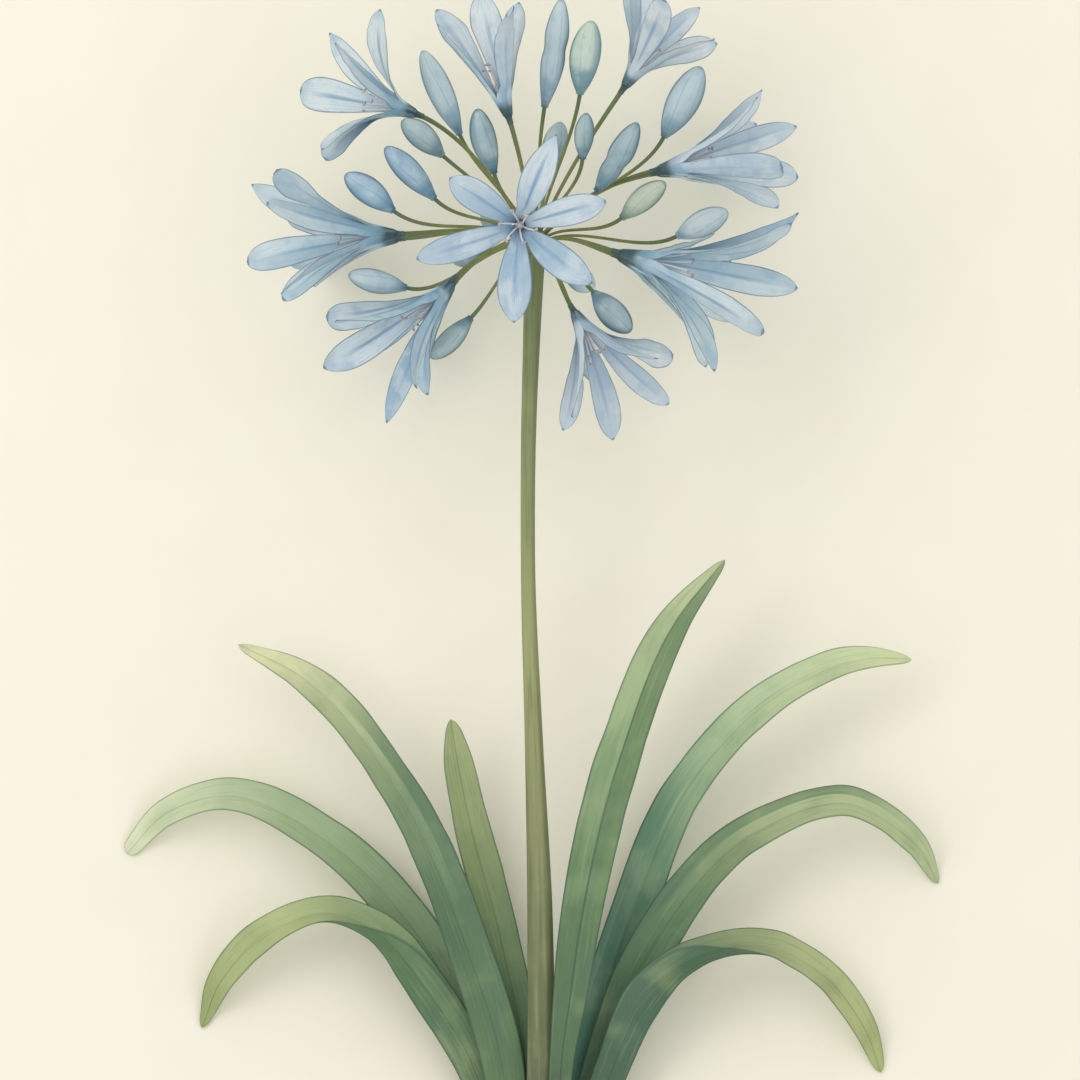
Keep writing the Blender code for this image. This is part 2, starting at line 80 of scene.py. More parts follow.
class Paint:
    """A socket in a material's nodes. Arithmetic on paints and numbers adds Math nodes."""

    def __init__(self, tree, socket=None):
        self.tree = tree
        self.socket = socket

    def node(self, kind, feeds, outlet=0, stops=(), **settings):
        """A new node: its settings and colour stops first, then what each inlet takes.

        That is a paint, which is linked, or a value, where hex digits stand for a colour.
        """
        made = self.tree.nodes.new("ShaderNode" + kind)
        for name, value in settings.items():
            setattr(made, name, value)
        if stops:
            band = made.color_ramp.elements
            for end, (at, colour) in ((0, stops[0]), (-1, stops[-1])):
                band[end].position = at
                band[end].color = colour
            for at, colour in stops[1:-1]:
                band.new(at).color = colour
        for inlet, value in feeds.items():
            if isinstance(value, Paint):
                self.tree.links.new(value.socket, made.inputs[inlet])
            else:
                value = tint(value) if isinstance(value, str) else value
                made.inputs[inlet].default_value = value
        return Paint(self.tree, made.outputs[outlet])

    def math(self, operation, *others):
        return self.node("Math", dict(enumerate((self, *others))), operation=operation)

    def __add__(self, other):
        return self.math("ADD", other)

    __radd__ = __add__

    def __sub__(self, other):
        return self.math("SUBTRACT", other)

    def __rsub__(self, other):
        return self * -1 + other

    def __mul__(self, other):
        return self.math("MULTIPLY", other)

    __rmul__ = __mul__

    def __abs__(self):
        return self.math("ABSOLUTE")

    def rise(self, low, high):
        """0 below low, 1 above high and a smooth step between."""
        feeds = {"Value": self, "From Min": low, "From Max": high}
        return self.node("MapRange", feeds, interpolation_type="SMOOTHSTEP")

    def over(self, under, top):
        """The colour under, with the colour top laid over it where this mask is 1."""
        return self.node("Mix", {0: self, 6: under, 7: top}, outlet=2, data_type="RGBA")

    def band(self, *stops):
        """A run of colours along this value, each stop its place and its hex digits."""
        return self.node("ValToRGB", {"Fac": self}, stops=[(at, tint(code)) for at, code in stops])

    def along(self, axis):
        return self.node("SeparateXYZ", {"Vector": self}, outlet=axis)

    def grain(self, x, y, z, detail=3):
        """Cloudy noise from 0 to 1 at the place that three paints or numbers give."""
        place = self.node("CombineXYZ", {"X": x, "Y": y, "Z": z})
        return self.node("TexNoise", {"Vector": place, "Scale": 1, "Detail": detail})

    def round_grain(self, x, turn, pitch):
        """Cloudy noise that meets itself after one turn, pitch patches wide a radian round."""
        angle = turn * TURN
        return self.grain(x, angle.math("COSINE") * pitch, angle.math("SINE") * pitch)

    def cloud(self, size, detail=3):
        """Cloudy noise from 0 to 1 over the object, with patches about size metres wide."""
        place = self.node("TexCoord", {}, outlet="Object")
        return self.node("TexNoise", {"Vector": place, "Scale": 1 / size, "Detail": detail})


def tint(code):
    """A colour from six hex digits, as the linear RGBA that shaders take."""
    share = np.array([int(code[at : at + 2], 16) for at in (0, 2, 4)]) / 255
    linear = np.where(share <= 0.04045, share / 12.92, ((share + 0.055) / 1.055) ** 2.4)
    return (*linear.tolist(), 1)


def new_look(name):
    """An empty material, a paint to start its nodes from, and its UV map's two directions."""
    look = bpy.data.materials.new(name)
    look.use_nodes = True
    start = Paint(look.node_tree)
    uv = start.node("TexCoord", {}, outlet="UV")
    return look, start, uv.along("X"), uv.along("Y")


def lay(look, colour, roughness, height, depth, **plain):
    """The material with its shader fed: colour, roughness, relief in metres, plain numbers."""
    shader = look.node_tree.nodes["Principled BSDF"]
    relief = colour.node("Bump", {"Strength": 1, "Distance": depth, "Height": height})
    look.node_tree.links.new(colour.socket, shader.inputs["Base Color"])
    look.node_tree.links.new(roughness.socket, shader.inputs["Roughness"])
    look.node_tree.links.new(relief.socket, shader.inputs["Normal"])
    for name, value in plain.items():
        shader.inputs[name.replace("_", " ")].default_value = value
    return look


def unit(vector):
    vector = np.asarray(vector, float)
    return vector / np.linalg.norm(vector, axis=-1, keepdims=True)


def wrapped(points, u, v):
    """One closed surface as corners, faces and the faces' map.

    points has a row for each step along and a column for each step round, and its last column
    joins its first. u has a value for each row, v one more than there are columns. Quads join
    neighbours, and a fan round one more corner closes each end. All faces point outwards.
    """
    rows, columns = points.shape[:2]
    ends = np.stack([points[0].mean(axis=0), points[-1].mean(axis=0)])
    places = np.concatenate([points.reshape(-1, 3), ends])
    step = np.arange(columns)
    cell = np.stack(np.meshgrid(np.arange(rows - 1), step, indexing="ij"), -1).reshape(-1, 2)
    row = cell[:, :1] + np.array([0, 0, 1, 1])
    column = cell[:, 1:] + np.array([0, 1, 1, 0])
    faces = [row * columns + column % columns]
    maps = [np.stack([u[row], v[column]], -1)]
    for end, last, order in ((0, 0, (1, 0)), (1, rows - 1, (0, 1))):
        pair = step[:, None] + np.array(order)
        hub = np.full((columns, 1), rows * columns + end)
        faces.append(np.concatenate([last * columns + pair % columns, hub], axis=1))
        across = np.concatenate([v[pair], v[pair].mean(axis=1, keepdims=True)], axis=1)
        maps.append(np.stack([np.full(across.shape, u[last]), across], -1))
    halves = np.concatenate([faces[0][:, :3], faces[0][:, [0, 2, 3]], faces[1], faces[2]])
    a, b, c = (places[halves[:, corner]] - ends[0] for corner in range(3))
    if (a * np.cross(b, c)).sum() < 0:
        faces = [face[:, ::-1] for face in faces]
        maps = [spots[:, ::-1] for spots in maps]
    return places, faces, maps


def show(name, grids, look, slot, *nodes):
    """A mesh of closed surfaces, each a grid of points and its u and v, in place of CAD nodes."""
    places, corners, counts, spots = [], [], [], []
    first = 0
    for points, u, v in grids:
        solid, faces, maps = wrapped(points, u, v)
        places.append(solid)
        corners += [(face + first).reshape(-1) for face in faces]
        counts += [np.full(len(face), face.shape[1]) for face in faces]
        spots += [part.reshape(-1, 2) for part in maps]
        first += len(solid)
    places = np.concatenate(places) * MM + PLAN_ORIGIN
    corners, counts, spots = (np.concatenate(part) for part in (corners, counts, spots))
    mesh = bpy.data.meshes.new(name)
    mesh.vertices.add(len(places))
    mesh.vertices.foreach_set("co", places.astype(np.float32).reshape(-1))
    mesh.loops.add(len(corners))
    mesh.loops.foreach_set("vertex_index", corners.astype(np.int32))
    mesh.polygons.add(len(counts))
    mesh.polygons.foreach_set("loop_start", (np.cumsum(counts) - counts).astype(np.int32))
    mesh.uv_layers.new(name="surface").data.foreach_set("uv", spots.astype(np.float32).reshape(-1))
    mesh.update(calc_edges=True)
    mesh.validate()
    mesh.shade_smooth()
    mesh.materials.append(look)
    piece = bpy.data.objects.new(name, mesh)
    bpy.context.scene.collection.objects.link(piece)
    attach(piece, "root")
    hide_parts(*nodes)


def once_round(columns):
    """The angle of each column, evenly spaced round one turn."""
    return np.linspace(0, TURN, columns, endpoint=False)


def waves(at, seed, slowest, count):
    """A smooth wandering between about -1 and 1: sines of rising pitch and falling height."""
    draw = np.random.default_rng(seed)
    pitch = slowest * np.arange(1, count + 1)
    start = draw.uniform(0, TURN, count)
    height = draw.uniform(0.6, 1, count) / np.arange(1, count + 1)
    turns = TURN * np.asarray(at, float)[..., None] * pitch + start
    return (np.sin(turns) * height).sum(axis=-1) / height.sum()


def crown_surface(steps, around):
    """An oval knob: a cut face, a rounded rim, a flank that widens upwards and a shoulder.

    The flank's radius grows with the distance from the cut. Overlapping rings step it in and
    out, fine fibres ridge it lengthwise, and whatever would reach below the table is flat.
    """
    t = np.linspace(0, 1, steps)
    angle = once_round(around)
    cut = np.clip(t / CROWN_FACE_END, 0, 1)
    climb = np.clip((t - CROWN_FACE_END) / (CROWN_FLANK_END - CROWN_FACE_END), 0, 1)
    close = np.clip((t - CROWN_FLANK_END) / (1 - CROWN_FLANK_END), 0, 1)
    radius = 0.5 * (CROWN_TAPER + (1 - CROWN_TAPER) * climb)
    radius = radius * np.clip(cut, 0.02, 1) * np.cos(close * math.pi / 2 * 0.96)
    y = CROWN_LENGTH * climb + CROWN_SHOULDER * np.sin(close * math.pi / 2)
    near_rim = np.clip(1 - climb * CROWN_LENGTH / CROWN_RIM, 0, 1) * (cut >= 1)
    radius = radius - CROWN_RIM / CROWN_WIDTH * (1 - np.sqrt(1 - near_rim**2 * 0.98))
    round_face = (radius / (0.5 * CROWN_TAPER)) ** 6 * (cut < 1)
    y = y + 0.9 * round_face - 0.25 * np.sin(cut * math.pi) * (cut < 1)
    on_flank = np.sin(climb * math.pi) ** 0.5 * (close <= 0)
    lap = angle / TURN
    scale = (climb[:, None] * CROWN_SCALES + 0.55 * waves(lap, 5, 1, 5) + lap) % 1
    fibre = waves(lap + 0.012 * np.sin(9 * climb)[:, None], 8, 21, 6)
    ridge = CROWN_SCALE_STEP * scale**2.2 + CROWN_FIBRE_STEP * fibre
    reach = radius[:, None] + on_flank[:, None] * (ridge - 0.6) / CROWN_WIDTH
    reach = reach * (1 + 0.025 * waves(lap, 3, 1, 3) * np.clip(climb + 0.3, 0, 1)[:, None])
    x = CROWN_MIDDLE_X + CROWN_WIDTH * reach * np.cos(angle)
    middle = CROWN_DEPTH * 0.5 * (CROWN_TAPER + (1 - CROWN_TAPER) * climb)
    z = middle[:, None] + CROWN_DEPTH * reach * np.sin(angle) - CROWN_SINK
    points = np.stack([x, np.broadcast_to(y[:, None], x.shape), np.maximum(z, 0)], axis=-1)
    return points, t, np.linspace(0, 1, around + 1)


def crown_finish():
    """Fibrous olive-brown skin with darker scale edges, and a pale ringed cut face."""
    look, start, t, turn = new_look("crown_skin")
    fibres = start.round_grain(t * 6, turn, 19)
    blotch = start.cloud(0.009)
    skin = fibres.rise(0.3, 0.7).over(*CROWN_SKIN)
    skin = blotch.rise(0.5, 0.75).over(skin, CROWN_MOSS)
    skin = t.rise(0.6, 0.8).over(skin, CROWN_TOP)
    rings = (t * 95 + blotch * 5).math("SINE").rise(-0.6, 1)
    flesh = (rings * 0.45).over(*CROWN_FLESH)
    flesh = (t.rise(0.19, 0.26) * 0.8).over(flesh, CROWN_RIND)
    colour = t.rise(0.245, 0.27).over(flesh, skin)
    return lay(look, colour, 0.65 + fibres * 0.2, fibres + blotch * 0.5, 0.0012)


show("crown_rootstock", [crown_surface(120, 540)], crown_finish(), "crown", "crown")


# The leaves: eight strap leaves, each one blade that grew from the crown. A blade is soft and
# satin, with fine parallel veins and a shallow channel, and arches over to lie on the table.

LEAF_STEPS = 190
LEAF_ACROSS = 21
LEAF_CHANNEL = 0.16
LEAF_FLAT_BASE = 0.4
LEAF_BASE_CHANNEL = 0.1
LEAF_THICKNESS = 1.4
LEAF_TIP = 5
LEAF_EDGE_WANDER = 0.02
LEAF_EDGE_WAVE = 0.8
LEAF_GROOVE = 0.35
LEAF_GROOVE_WIDTH = 0.16
LEAF_MIDRIB_SWELL = 0.25
REST_BAND = 4
REST_CLEARANCE = 0.03


def rested(points, thickness):
    """Eases up the heights in the lowest band, so that a sheet lies along the table."""
    points = np.array(points, float)
    height = points[..., 2]
    floor = thickness / 2 + REST_CLEARANCE
    room = REST_BAND - floor
    eased = floor + room * np.exp((np.minimum(height, REST_BAND) - REST_BAND) / room)
    points[..., 2] = np.where(height < REST_BAND, eased, height)
    return points


def smooth_path(rows, count):
    """Rows read from a smooth cubic through the given rows, evenly spaced along them."""
    rows = np.array(rows, float)
    reach = np.linalg.norm(np.diff(rows[:, :3], axis=0), axis=1)
    at = np.concatenate([[0], np.cumsum(reach)])
    slope = np.gradient(rows, at, axis=0)
    want = np.linspace(0, at[-1], count)
    cell = np.clip(np.searchsorted(at, want, side="right") - 1, 0, len(at) - 2)
    span = (at[cell + 1] - at[cell])[:, None]
    t = (want - at[cell])[:, None] / span
    start, end = rows[cell], rows[cell + 1]
    leave, arrive = slope[cell] * span, slope[cell + 1] * span
    return (
        start * (2 * t**3 - 3 * t**2 + 1)
        + leave * (t**3 - 2 * t**2 + t)
        + end * (3 * t**2 - 2 * t**3)
        + arrive * (t**3 - t**2)
    )


def thickened(middle, thickness, s, u):
    """A closed blade round a sheet: its points moved to both sides along the sheet's normal.

    The upper face runs across from the left edge to the right one and the lower face back, so
    a row of the grid goes once round the blade. The thickness is 0 at both edges.
    """
    normal = unit(np.cross(np.gradient(middle, axis=0), np.gradient(middle, axis=1)))
    shift = normal * (thickness / 2)[..., None]
    upper = middle + shift
    lower = (middle - shift)[:, -2:0:-1]
    across = (u + 1) / 2
    return np.concatenate([upper, lower], axis=1), s, np.concatenate([across, across[-2::-1]])


def strap_leaf(rows, seed):
    """A channelled blade carried along its middle line.

    A point is the middle line, plus u half widths sideways, plus the channel's lift, which
    grows with |u| to the power 1.5, less a groove along the middle. The edges wave a little
    and the tip closes round.
    """
    path = smooth_path(rows, LEAF_STEPS)
    middle, width, turn = path[:, :3], path[:, 3], np.radians(path[:, 4])
    along = unit(np.gradient(middle, axis=0))
    across = unit(np.cross((0, 0, 1), along))
    upward = np.cross(along, across)
    side = np.cos(turn)[:, None] * across + np.sin(turn)[:, None] * upward
    face = np.cos(turn)[:, None] * upward - np.sin(turn)[:, None] * across
    s = np.linspace(0, 1, LEAF_STEPS)
    u = -np.cos(np.linspace(0, math.pi, LEAF_ACROSS))
    length = np.linalg.norm(np.diff(middle, axis=0), axis=1).sum()
    tip = np.clip(1 - (1 - s) * length / LEAF_TIP, 0, 1)
    closing = np.sqrt(1 - 0.985 * tip**2)
    width = width * closing * (1 + LEAF_EDGE_WANDER * waves(s, seed, 2, 5))
    ramp = np.clip(s / LEAF_FLAT_BASE, LEAF_BASE_CHANNEL, 1)
    lift = (LEAF_CHANNEL * ramp * width)[:, None] * np.abs(u) ** 1.5
    left, right = waves(s, seed + 20, 3, 5)[:, None], waves(s, seed + 40, 3, 5)[:, None]
    ripple = LEAF_EDGE_WAVE * np.where(u < 0, left, right)
    lift = lift + ripple * u**2 * (ramp * closing)[:, None]
    groove = LEAF_GROOVE * np.exp(-((u / LEAF_GROOVE_WIDTH) ** 2))
    lift = lift - groove * closing[:, None]
    points = middle[:, None] + (width[:, None] / 2 * u)[..., None] * side[:, None]
    points = rested(points + lift[..., None] * face[:, None], LEAF_THICKNESS)
    edge = np.sqrt(1 - u**2) ** 0.8
    midrib = 1 + LEAF_MIDRIB_SWELL * np.exp(-((u / 0.2) ** 2))
    thickness = LEAF_THICKNESS * closing[:, None] * edge * midrib
    return thickened(points, thickness, s, u)


def leaf_finish(name, greens, seed, shade, shade_end, fold, midrib):
    """Green that pales from the crown to the tip, streaked along the veins, with dark edges.

    shade is a share of the width, from the right edge or from the left one where negative,
    that is deeper in tone up to shade_end. Between the two places that fold gives, the pale
    outer side of the arch comes over from the edge that the fold's first number names, and a
    dark line along its front is painted shade in the crease.
    """
    base, body, pale, tip = greens
    look, start, s, u = new_look(name)
    streak = start.grain(s * 7, u * 11, seed)
    thread = start.grain(s * 16, u * 44, seed + 7)
    wash = start.grain(s * 5, u * 1.6, seed + 3)
    pool = start.cloud(0.022)
    reach = s + (wash - 0.5) * 0.2
    colour = reach.band((0.08, base), (0.38, body), (0.68, pale), (0.96, tip))
    dark = reach.band((0, base), (0.4, body), (1, body))
    crossed = u if shade > 0 or (fold and fold[0] > 0) else 1 - u
    line = 0
    if fold:
        front = s.rise(fold[1], fold[2]).math("POWER", 2) * 1.04 + 0.06
        colour = (front - crossed).rise(-0.02, 0.02).over(dark, colour)
        # A dark line along the front of the fold: painted shade in the crease.
        line = (1 - abs(front - crossed).rise(0, 0.07)) * s.rise(fold[1], fold[1] + 0.05)
        line = line * (1 - s.rise(fold[2] - 0.04, fold[2]))
    if shade:
        deep = 1 - crossed.rise(abs(shade) - 0.03, abs(shade))
        deep = deep * (1 - s.rise(shade_end - 0.18, shade_end))
        colour = (deep * (0.5 + wash * 0.5)).over(colour, dark)
    colour = (pool.rise(0.46, 0.72) * 0.3).over(colour, pale)
    colour = ((1 - pool).rise(0.46, 0.72) * (0.45 - 0.25 * s)).over(colour, body)
    wet = wash.rise(0.48, 0.74) * s.rise(0.06, 0.2) * (1 - s.rise(0.4, 0.75))
    colour = (wet * 0.5).over(colour, LEAF_WET)
    colour = (streak.rise(0.54, 0.74) * 0.24).over(colour, pale)
    colour = ((1 - streak).rise(0.52, 0.74) * 0.26).over(colour, base)
    colour = (thread.rise(0.56, 0.74) * 0.22).over(colour, LEAF_EDGE)
    off_middle = abs(u * 2 - 1)
    # A darker line down the middle groove, as strong as midrib gives: painted shade in the groove.
    groove = 1 - off_middle.rise(0, 0.09)
    colour = (groove * (0.5 + streak) * midrib).over(colour, LEAF_EDGE)
    rim = off_middle.rise(0.9, 0.97) * (0.85 - 0.35 * s)
    colour = rim.over(colour, LEAF_EDGE)
    if fold:
        # The fold's crease line, painted shade.
        colour = (line * 0.6).over(colour, LEAF_EDGE)
    ribs = (u * 60).math("SINE")
    height = ribs * 0.12 + thread * 0.8 + streak * 0.6 - groove * 0.7
    return lay(look, colour, 0.5 + thread * 0.16, height, 0.0002)


# Each row of a leaf is a place on its middle line, its width there, and how far it is turned
# about that line, in degrees.
LEAVES = {
    1: (
        (-12, 18, 10.4, 13, 4), (-14.5, 46, 13, 17, 8), (-30, 98, 24, 18.5, 20),
        (-59, 162, 34, 17.5, 30), (-96, 205, 32, 13.5, 30), (-121, 218, 26, 3, 25),
    ),
    2: (
        (-15, 18, 4.4, 13, 0), (-24, 52, 4.6, 18, 0), (-54, 108, 8, 18.5, 8),
        (-86, 139, 19, 18, 26), (-126, 157, 18, 15.5, 30), (-150, 150, 9, 11.5, 20),
        (-166, 134, -4, 6, 8),
    ),
    3: (
        (-17, 18, 7.4, 13, 0), (-25.5, 46, 10.5, 14.5, 4), (-46, 80, 21, 18, 22),
        (-68, 104, 27, 17.5, 46), (-86, 110, 27, 17, 52), (-108, 102, 21, 16.5, 40),
        (-127, 84, 10, 12, 22), (-136, 64, -4, 3, 10),
    ),
    4: (
        (-4.5, 18, 6.6, 11, 0), (-6, 48, 8.6, 14, 0), (-16, 100, 14, 15, 10),
        (-29, 150, 21, 14.5, 15), (-34, 176, 25, 10.5, 15), (-35.8, 188, 27, 4, 15),
    ),
    5: (
        (7.5, 18, 22.4, 9, 0), (8.6, 50, 27, 9.5, -2), (12, 76, 30.6, 13.5, -6),
        (16, 104, 34, 16.5, -10), (33, 175, 45, 18.5, -18), (55, 228, 52, 13.5, -20),
        (74, 252, 54, 3, -20),
    ),
    6: (
        (12.5, 18, 4.4, 13, 0), (19, 50, 4.6, 17, 0), (36, 106, 9, 18, -8),
        (62, 164, 26, 18, -26), (98, 199, 36, 16.5, -36), (130, 212, 32, 12, -36),
        (149, 212, 26, 3, -30),
    ),
    7: (
        (17, 18, 7.6, 13, 0), (25, 46, 9.4, 17, -2), (46, 98, 18, 18.5, -12),
        (86, 142, 31, 18, -34), (122, 154, 30, 15.5, -40), (150, 138, 15, 10.5, -25),
        (160, 122, -4, 3, -10),
    ),
    8: (
        (19, 18, 11.4, 13, 0), (29, 48, 16.5, 14, -4), (44, 78, 27, 17.5, -22),
        (64, 93, 32, 17, -46), (88, 97, 30, 16.5, -52), (112, 86, 20, 15, -38),
        (130, 64, 9, 10.5, -22), (137, 46, -4, 3, -8),
    ),
}
# The greens at the crown, in the lower and the upper half, and at the tip.
LEAF_GREENS = {
    1: ("678159", "58775A", "90A57C", "E3E5B6"),
    2: ("6C8762", "86A27C", "A2B68E", "DEE6C0"),
    3: ("617B58", "66855F", "B2BE8A", "9EAC72"),
    4: ("446850", "637F58", "8A9C6B", "AAB582"),
    5: ("4C6549", "5C7C54", "9BB384", "BECB9E"),
    6: ("39776C", "649074", "B2C79F", "D2DCAC"),
    7: ("3E5F49", "5D7F5A", "AFBC90", "B7C597"),
    8: ("43624D", "507056", "ABB684", "B0BA7B"),
}
LEAF_EDGE = "3C5A48"
LEAF_WET = "466B5E"
LEAF_SHADES = {
    1: (0.3, 0.85),
    5: (0.49, 1.1),
    6: (-0.42, 0.66),
    7: (-0.25, 0.9),
}
LEAF_FOLDS = {3: (1, 0.28, 0.66), 8: (-1, 0.34, 0.63)}
# How strong the painted shade in each leaf's middle groove is; 0.08 where a leaf is not listed.
LEAF_GROOVE_SHADES = {5: 0.8, 4: 0.25}
for number, rows in LEAVES.items():
    name = f"leaf_{number}"
    shade, shade_end = LEAF_SHADES.get(number, (0, 1))
    marks = shade, shade_end, LEAF_FOLDS.get(number), LEAF_GROOVE_SHADES.get(number, 0.08)
    green = leaf_finish(name + "_green", LEAF_GREENS[number], 11 * (number - 1), *marks)
    show(name + "_blade", [strap_leaf(rows, number)], green, "leaf", name)


# The flower stem: one round upright stem and a knob at its top, from which a thin stalk goes
# to each flower and bud. All of it grew as one body, smooth and satin, with faint ribs.

# Each row is a place on the stem's middle line and its radius there.
STEM = (
    (0, 18, 15.2, 5.6),
    (0.4, 62, 20.5, 5.5),
    (0, 109, 28, 5.1),
    (-2.4, 178, 40, 3.7),
    (-4.8, 250, 54.5, 2.9),
    (-4.6, 300, 65, 3),
    (-3, 350, 75.5, 3.6),
    (-2, 376, 80.5, 4.2),
)
STEM_STEPS = 220
UMBEL = np.array([-2.0, 379.0, 82.0])
HEAD_RADIUS = 6.5
HEAD_SQUASH = 0.8
HEAD_SWELL = 0.05
STEM_RIBS = 12
STEM_RIB_DEPTH = 0.012
STEM_FLARE = 0.06
STEM_FLARE_ROWS = 12
OFF_EVERY_PATH = (0.36, 0.1, 0.93)
STEM_LIGHT = "ABAF80"
STEM_DARK = "4E5B36"
STEM_SHADE = "4F5A38"


def heading(bearing, lean):
    """The direction that a bearing and a lean in degrees give."""
    turn, rise = math.radians(bearing), math.radians(lean)
    level = math.cos(rise)
    return np.array([math.sin(turn) * level, math.cos(turn) * level, math.sin(rise)])


def round_tube(path, radius, around, ribs=0, rib_count=0):
    """A tube: a circle of each row's radius, square to the path, with faint ribs round it."""
    along = unit(np.gradient(path, axis=0))
    side = unit(np.cross(along, OFF_EVERY_PATH))
    upward = np.cross(side, along)
    angle = once_round(around)
    reach = np.asarray(radius)[:, None] * (1 + ribs * np.cos(rib_count * angle))
    out = np.cos(angle)[:, None] * side[:, None] + np.sin(angle)[:, None] * upward[:, None]
    points = path[:, None] + reach[..., None] * out
    return points, np.linspace(0, 1, len(path)), np.linspace(0, 1, around + 1)


def knob_surface():
    """A squashed ball with low swellings where the stalks leave it."""
    t = np.linspace(0.02, 0.98, 40) * math.pi
    angle = once_round(72)
    swell = 1 + HEAD_SWELL * np.sin(7 * angle) * np.sin(5 * t)[:, None] * np.sin(t)[:, None]
    ring = HEAD_RADIUS * np.sin(t)[:, None] * swell
    y = np.broadcast_to(-HEAD_RADIUS * HEAD_SQUASH * np.cos(t)[:, None], ring.shape)
    points = np.stack([ring * np.cos(angle), y, ring * np.sin(angle)], axis=-1)
    return points + UMBEL, t / math.pi, np.linspace(0, 1, 73)


def stem_finish(name, foot, low, high, top, shade):
    """Olive green, browner at the foot, with fine lengthwise streaks and a deeper right side."""
    look, start, s, turn = new_look(name)
    streak = start.round_grain(s * 11, turn, 2.6)
    wash = start.cloud(0.016)
    colour = s.band((0, foot), (0.22, low), (0.55, high), (1, top))
    colour = (streak.rise(0.5, 0.75) * 0.35).over(colour, STEM_LIGHT)
    colour = ((1 - streak).rise(0.5, 0.72) * 0.4).over(colour, STEM_DARK)
    colour = (wash.rise(0.5, 0.75) * 0.3).over(colour, high)
    right = (turn * TURN).math("COSINE").rise(-0.05, 0.45)
    colour = (right * shade).over(colour, STEM_SHADE)
    return lay(look, colour, 0.46 + streak * 0.2, streak + wash * 0.4, 0.0003)


stem_path = smooth_path(STEM, STEM_STEPS)
foot_flare = 1 + STEM_FLARE * np.exp(-np.arange(STEM_STEPS) / STEM_FLARE_ROWS)
stem_radius = stem_path[:, 3] * foot_flare
stem_tube = round_tube(stem_path[:, :3], stem_radius, 48, STEM_RIB_DEPTH, STEM_RIBS)
stem_green = stem_finish("scape_green", "54634A", "777E58", "9BA06E", "6E7A50", 0.4)
show("scape", [stem_tube], stem_green, "stem", "flower_stem")
knob_green = stem_finish("knob_green", "5E7046", "6B7B47", "74824C", "7D8A50", 0.2)
show("umbel_knob", [knob_surface()], knob_green, "stem", "flower_stem")


# The florets: thirteen open flowers of six thin satin petals, which grew together in a short
# tube. A darker stripe runs up each petal, and the tube's foot sits on the end of its stalk.

GAP = 0.3
TEPALS = 6
TUBE_END = 0.16
TUBE_TILT = 14
TUBE_SECTOR = 31
TUBE_RADIUS = 1.7
TUBE_BLEND = 0.14
TEPAL_SIDE_SHORTENING = 0.12
TEPAL_CROWDING = 0.45
TEPAL_NARROW_ROOT = 0.08
TEPAL_SWELL = 0.8
TEPAL_TIP_TAPER = 4
TEPAL_TIP_CLOSING = 0.55
TEPAL_SHAPE_PEAK = 0.65
TEPAL_BEND_START = 0.1
TEPAL_CURL = 0.6
TEPAL_COURSE_STEPS = 250
TEPAL_THICKNESS = 0.7
TEPAL_TIP_THINNING = 0.35
TEPAL_CUP = 0.16
TEPAL_RUFFLE = 0.55
TEPAL_GROOVE = 0.35
TEPAL_GROOVE_WIDTH = 0.2
TEPAL_TWIST = 72
TWIST_FULL_SPREAD = 46
WHORL_STEP = 0.5
UPRIGHT_LEAN = 60
TEPAL_STEPS = 56
TEPAL_ACROSS = 17
UV_MARGIN = 0.02
# Pale tints that are partly random tone and partly painted highlights.
TEPAL_HIGHLIGHT = "DCE5E8"
TEPAL_HIGHLIGHT_WASH = "DAE4E8"

# Each plan is the stalk's length, bearing and lean, then the flower's length, the width of a
# petal, the flower's bearing and lean, how far its petals spread, its own turn and its blue.
FLORETS = {
    1: (70, -43, 4, 54, 13.5, -70, 15, 66, 13, "sky"),
    2: (60, -12, 32, 51, 12.5, -17, 14, 27, 54, "pale"),
    3: (72, 30, 5, 48, 12.5, 34, 6, 48, -13, "lilac"),
    4: (63, 60, 26, 59, 11.2, 78, 11, 34, 20, "pale"),
    5: (46, 98, 42, 77, 12.8, 107, 7, 44, 15, "sky"),
    6: (44, 151, 43, 54, 12.5, 150, 20, 46, 33, "lilac"),
    7: (47, -116, 38, 63, 13, -139, 18, 47, 28, "deep"),
    8: (59, -87, 20, 64, 12.5, -91, 10, 43, 18, "sky"),
    9: (36, -41, 76, 52, 12.8, -130, 85, 85, 50, "open"),
    10: (50, 99, -47, 58, 12, 107, -30, 34, 30, "sky"),
    11: (55, -117, -47, 54, 12, -139, -30, 34, 30, "deep"),
    12: (72, -88, -40, 52, 12, -91, -20, 34, 30, "lilac"),
    13: (74, 60, -40, 50, 12, 78, -15, 28, 30, "pale"),
}
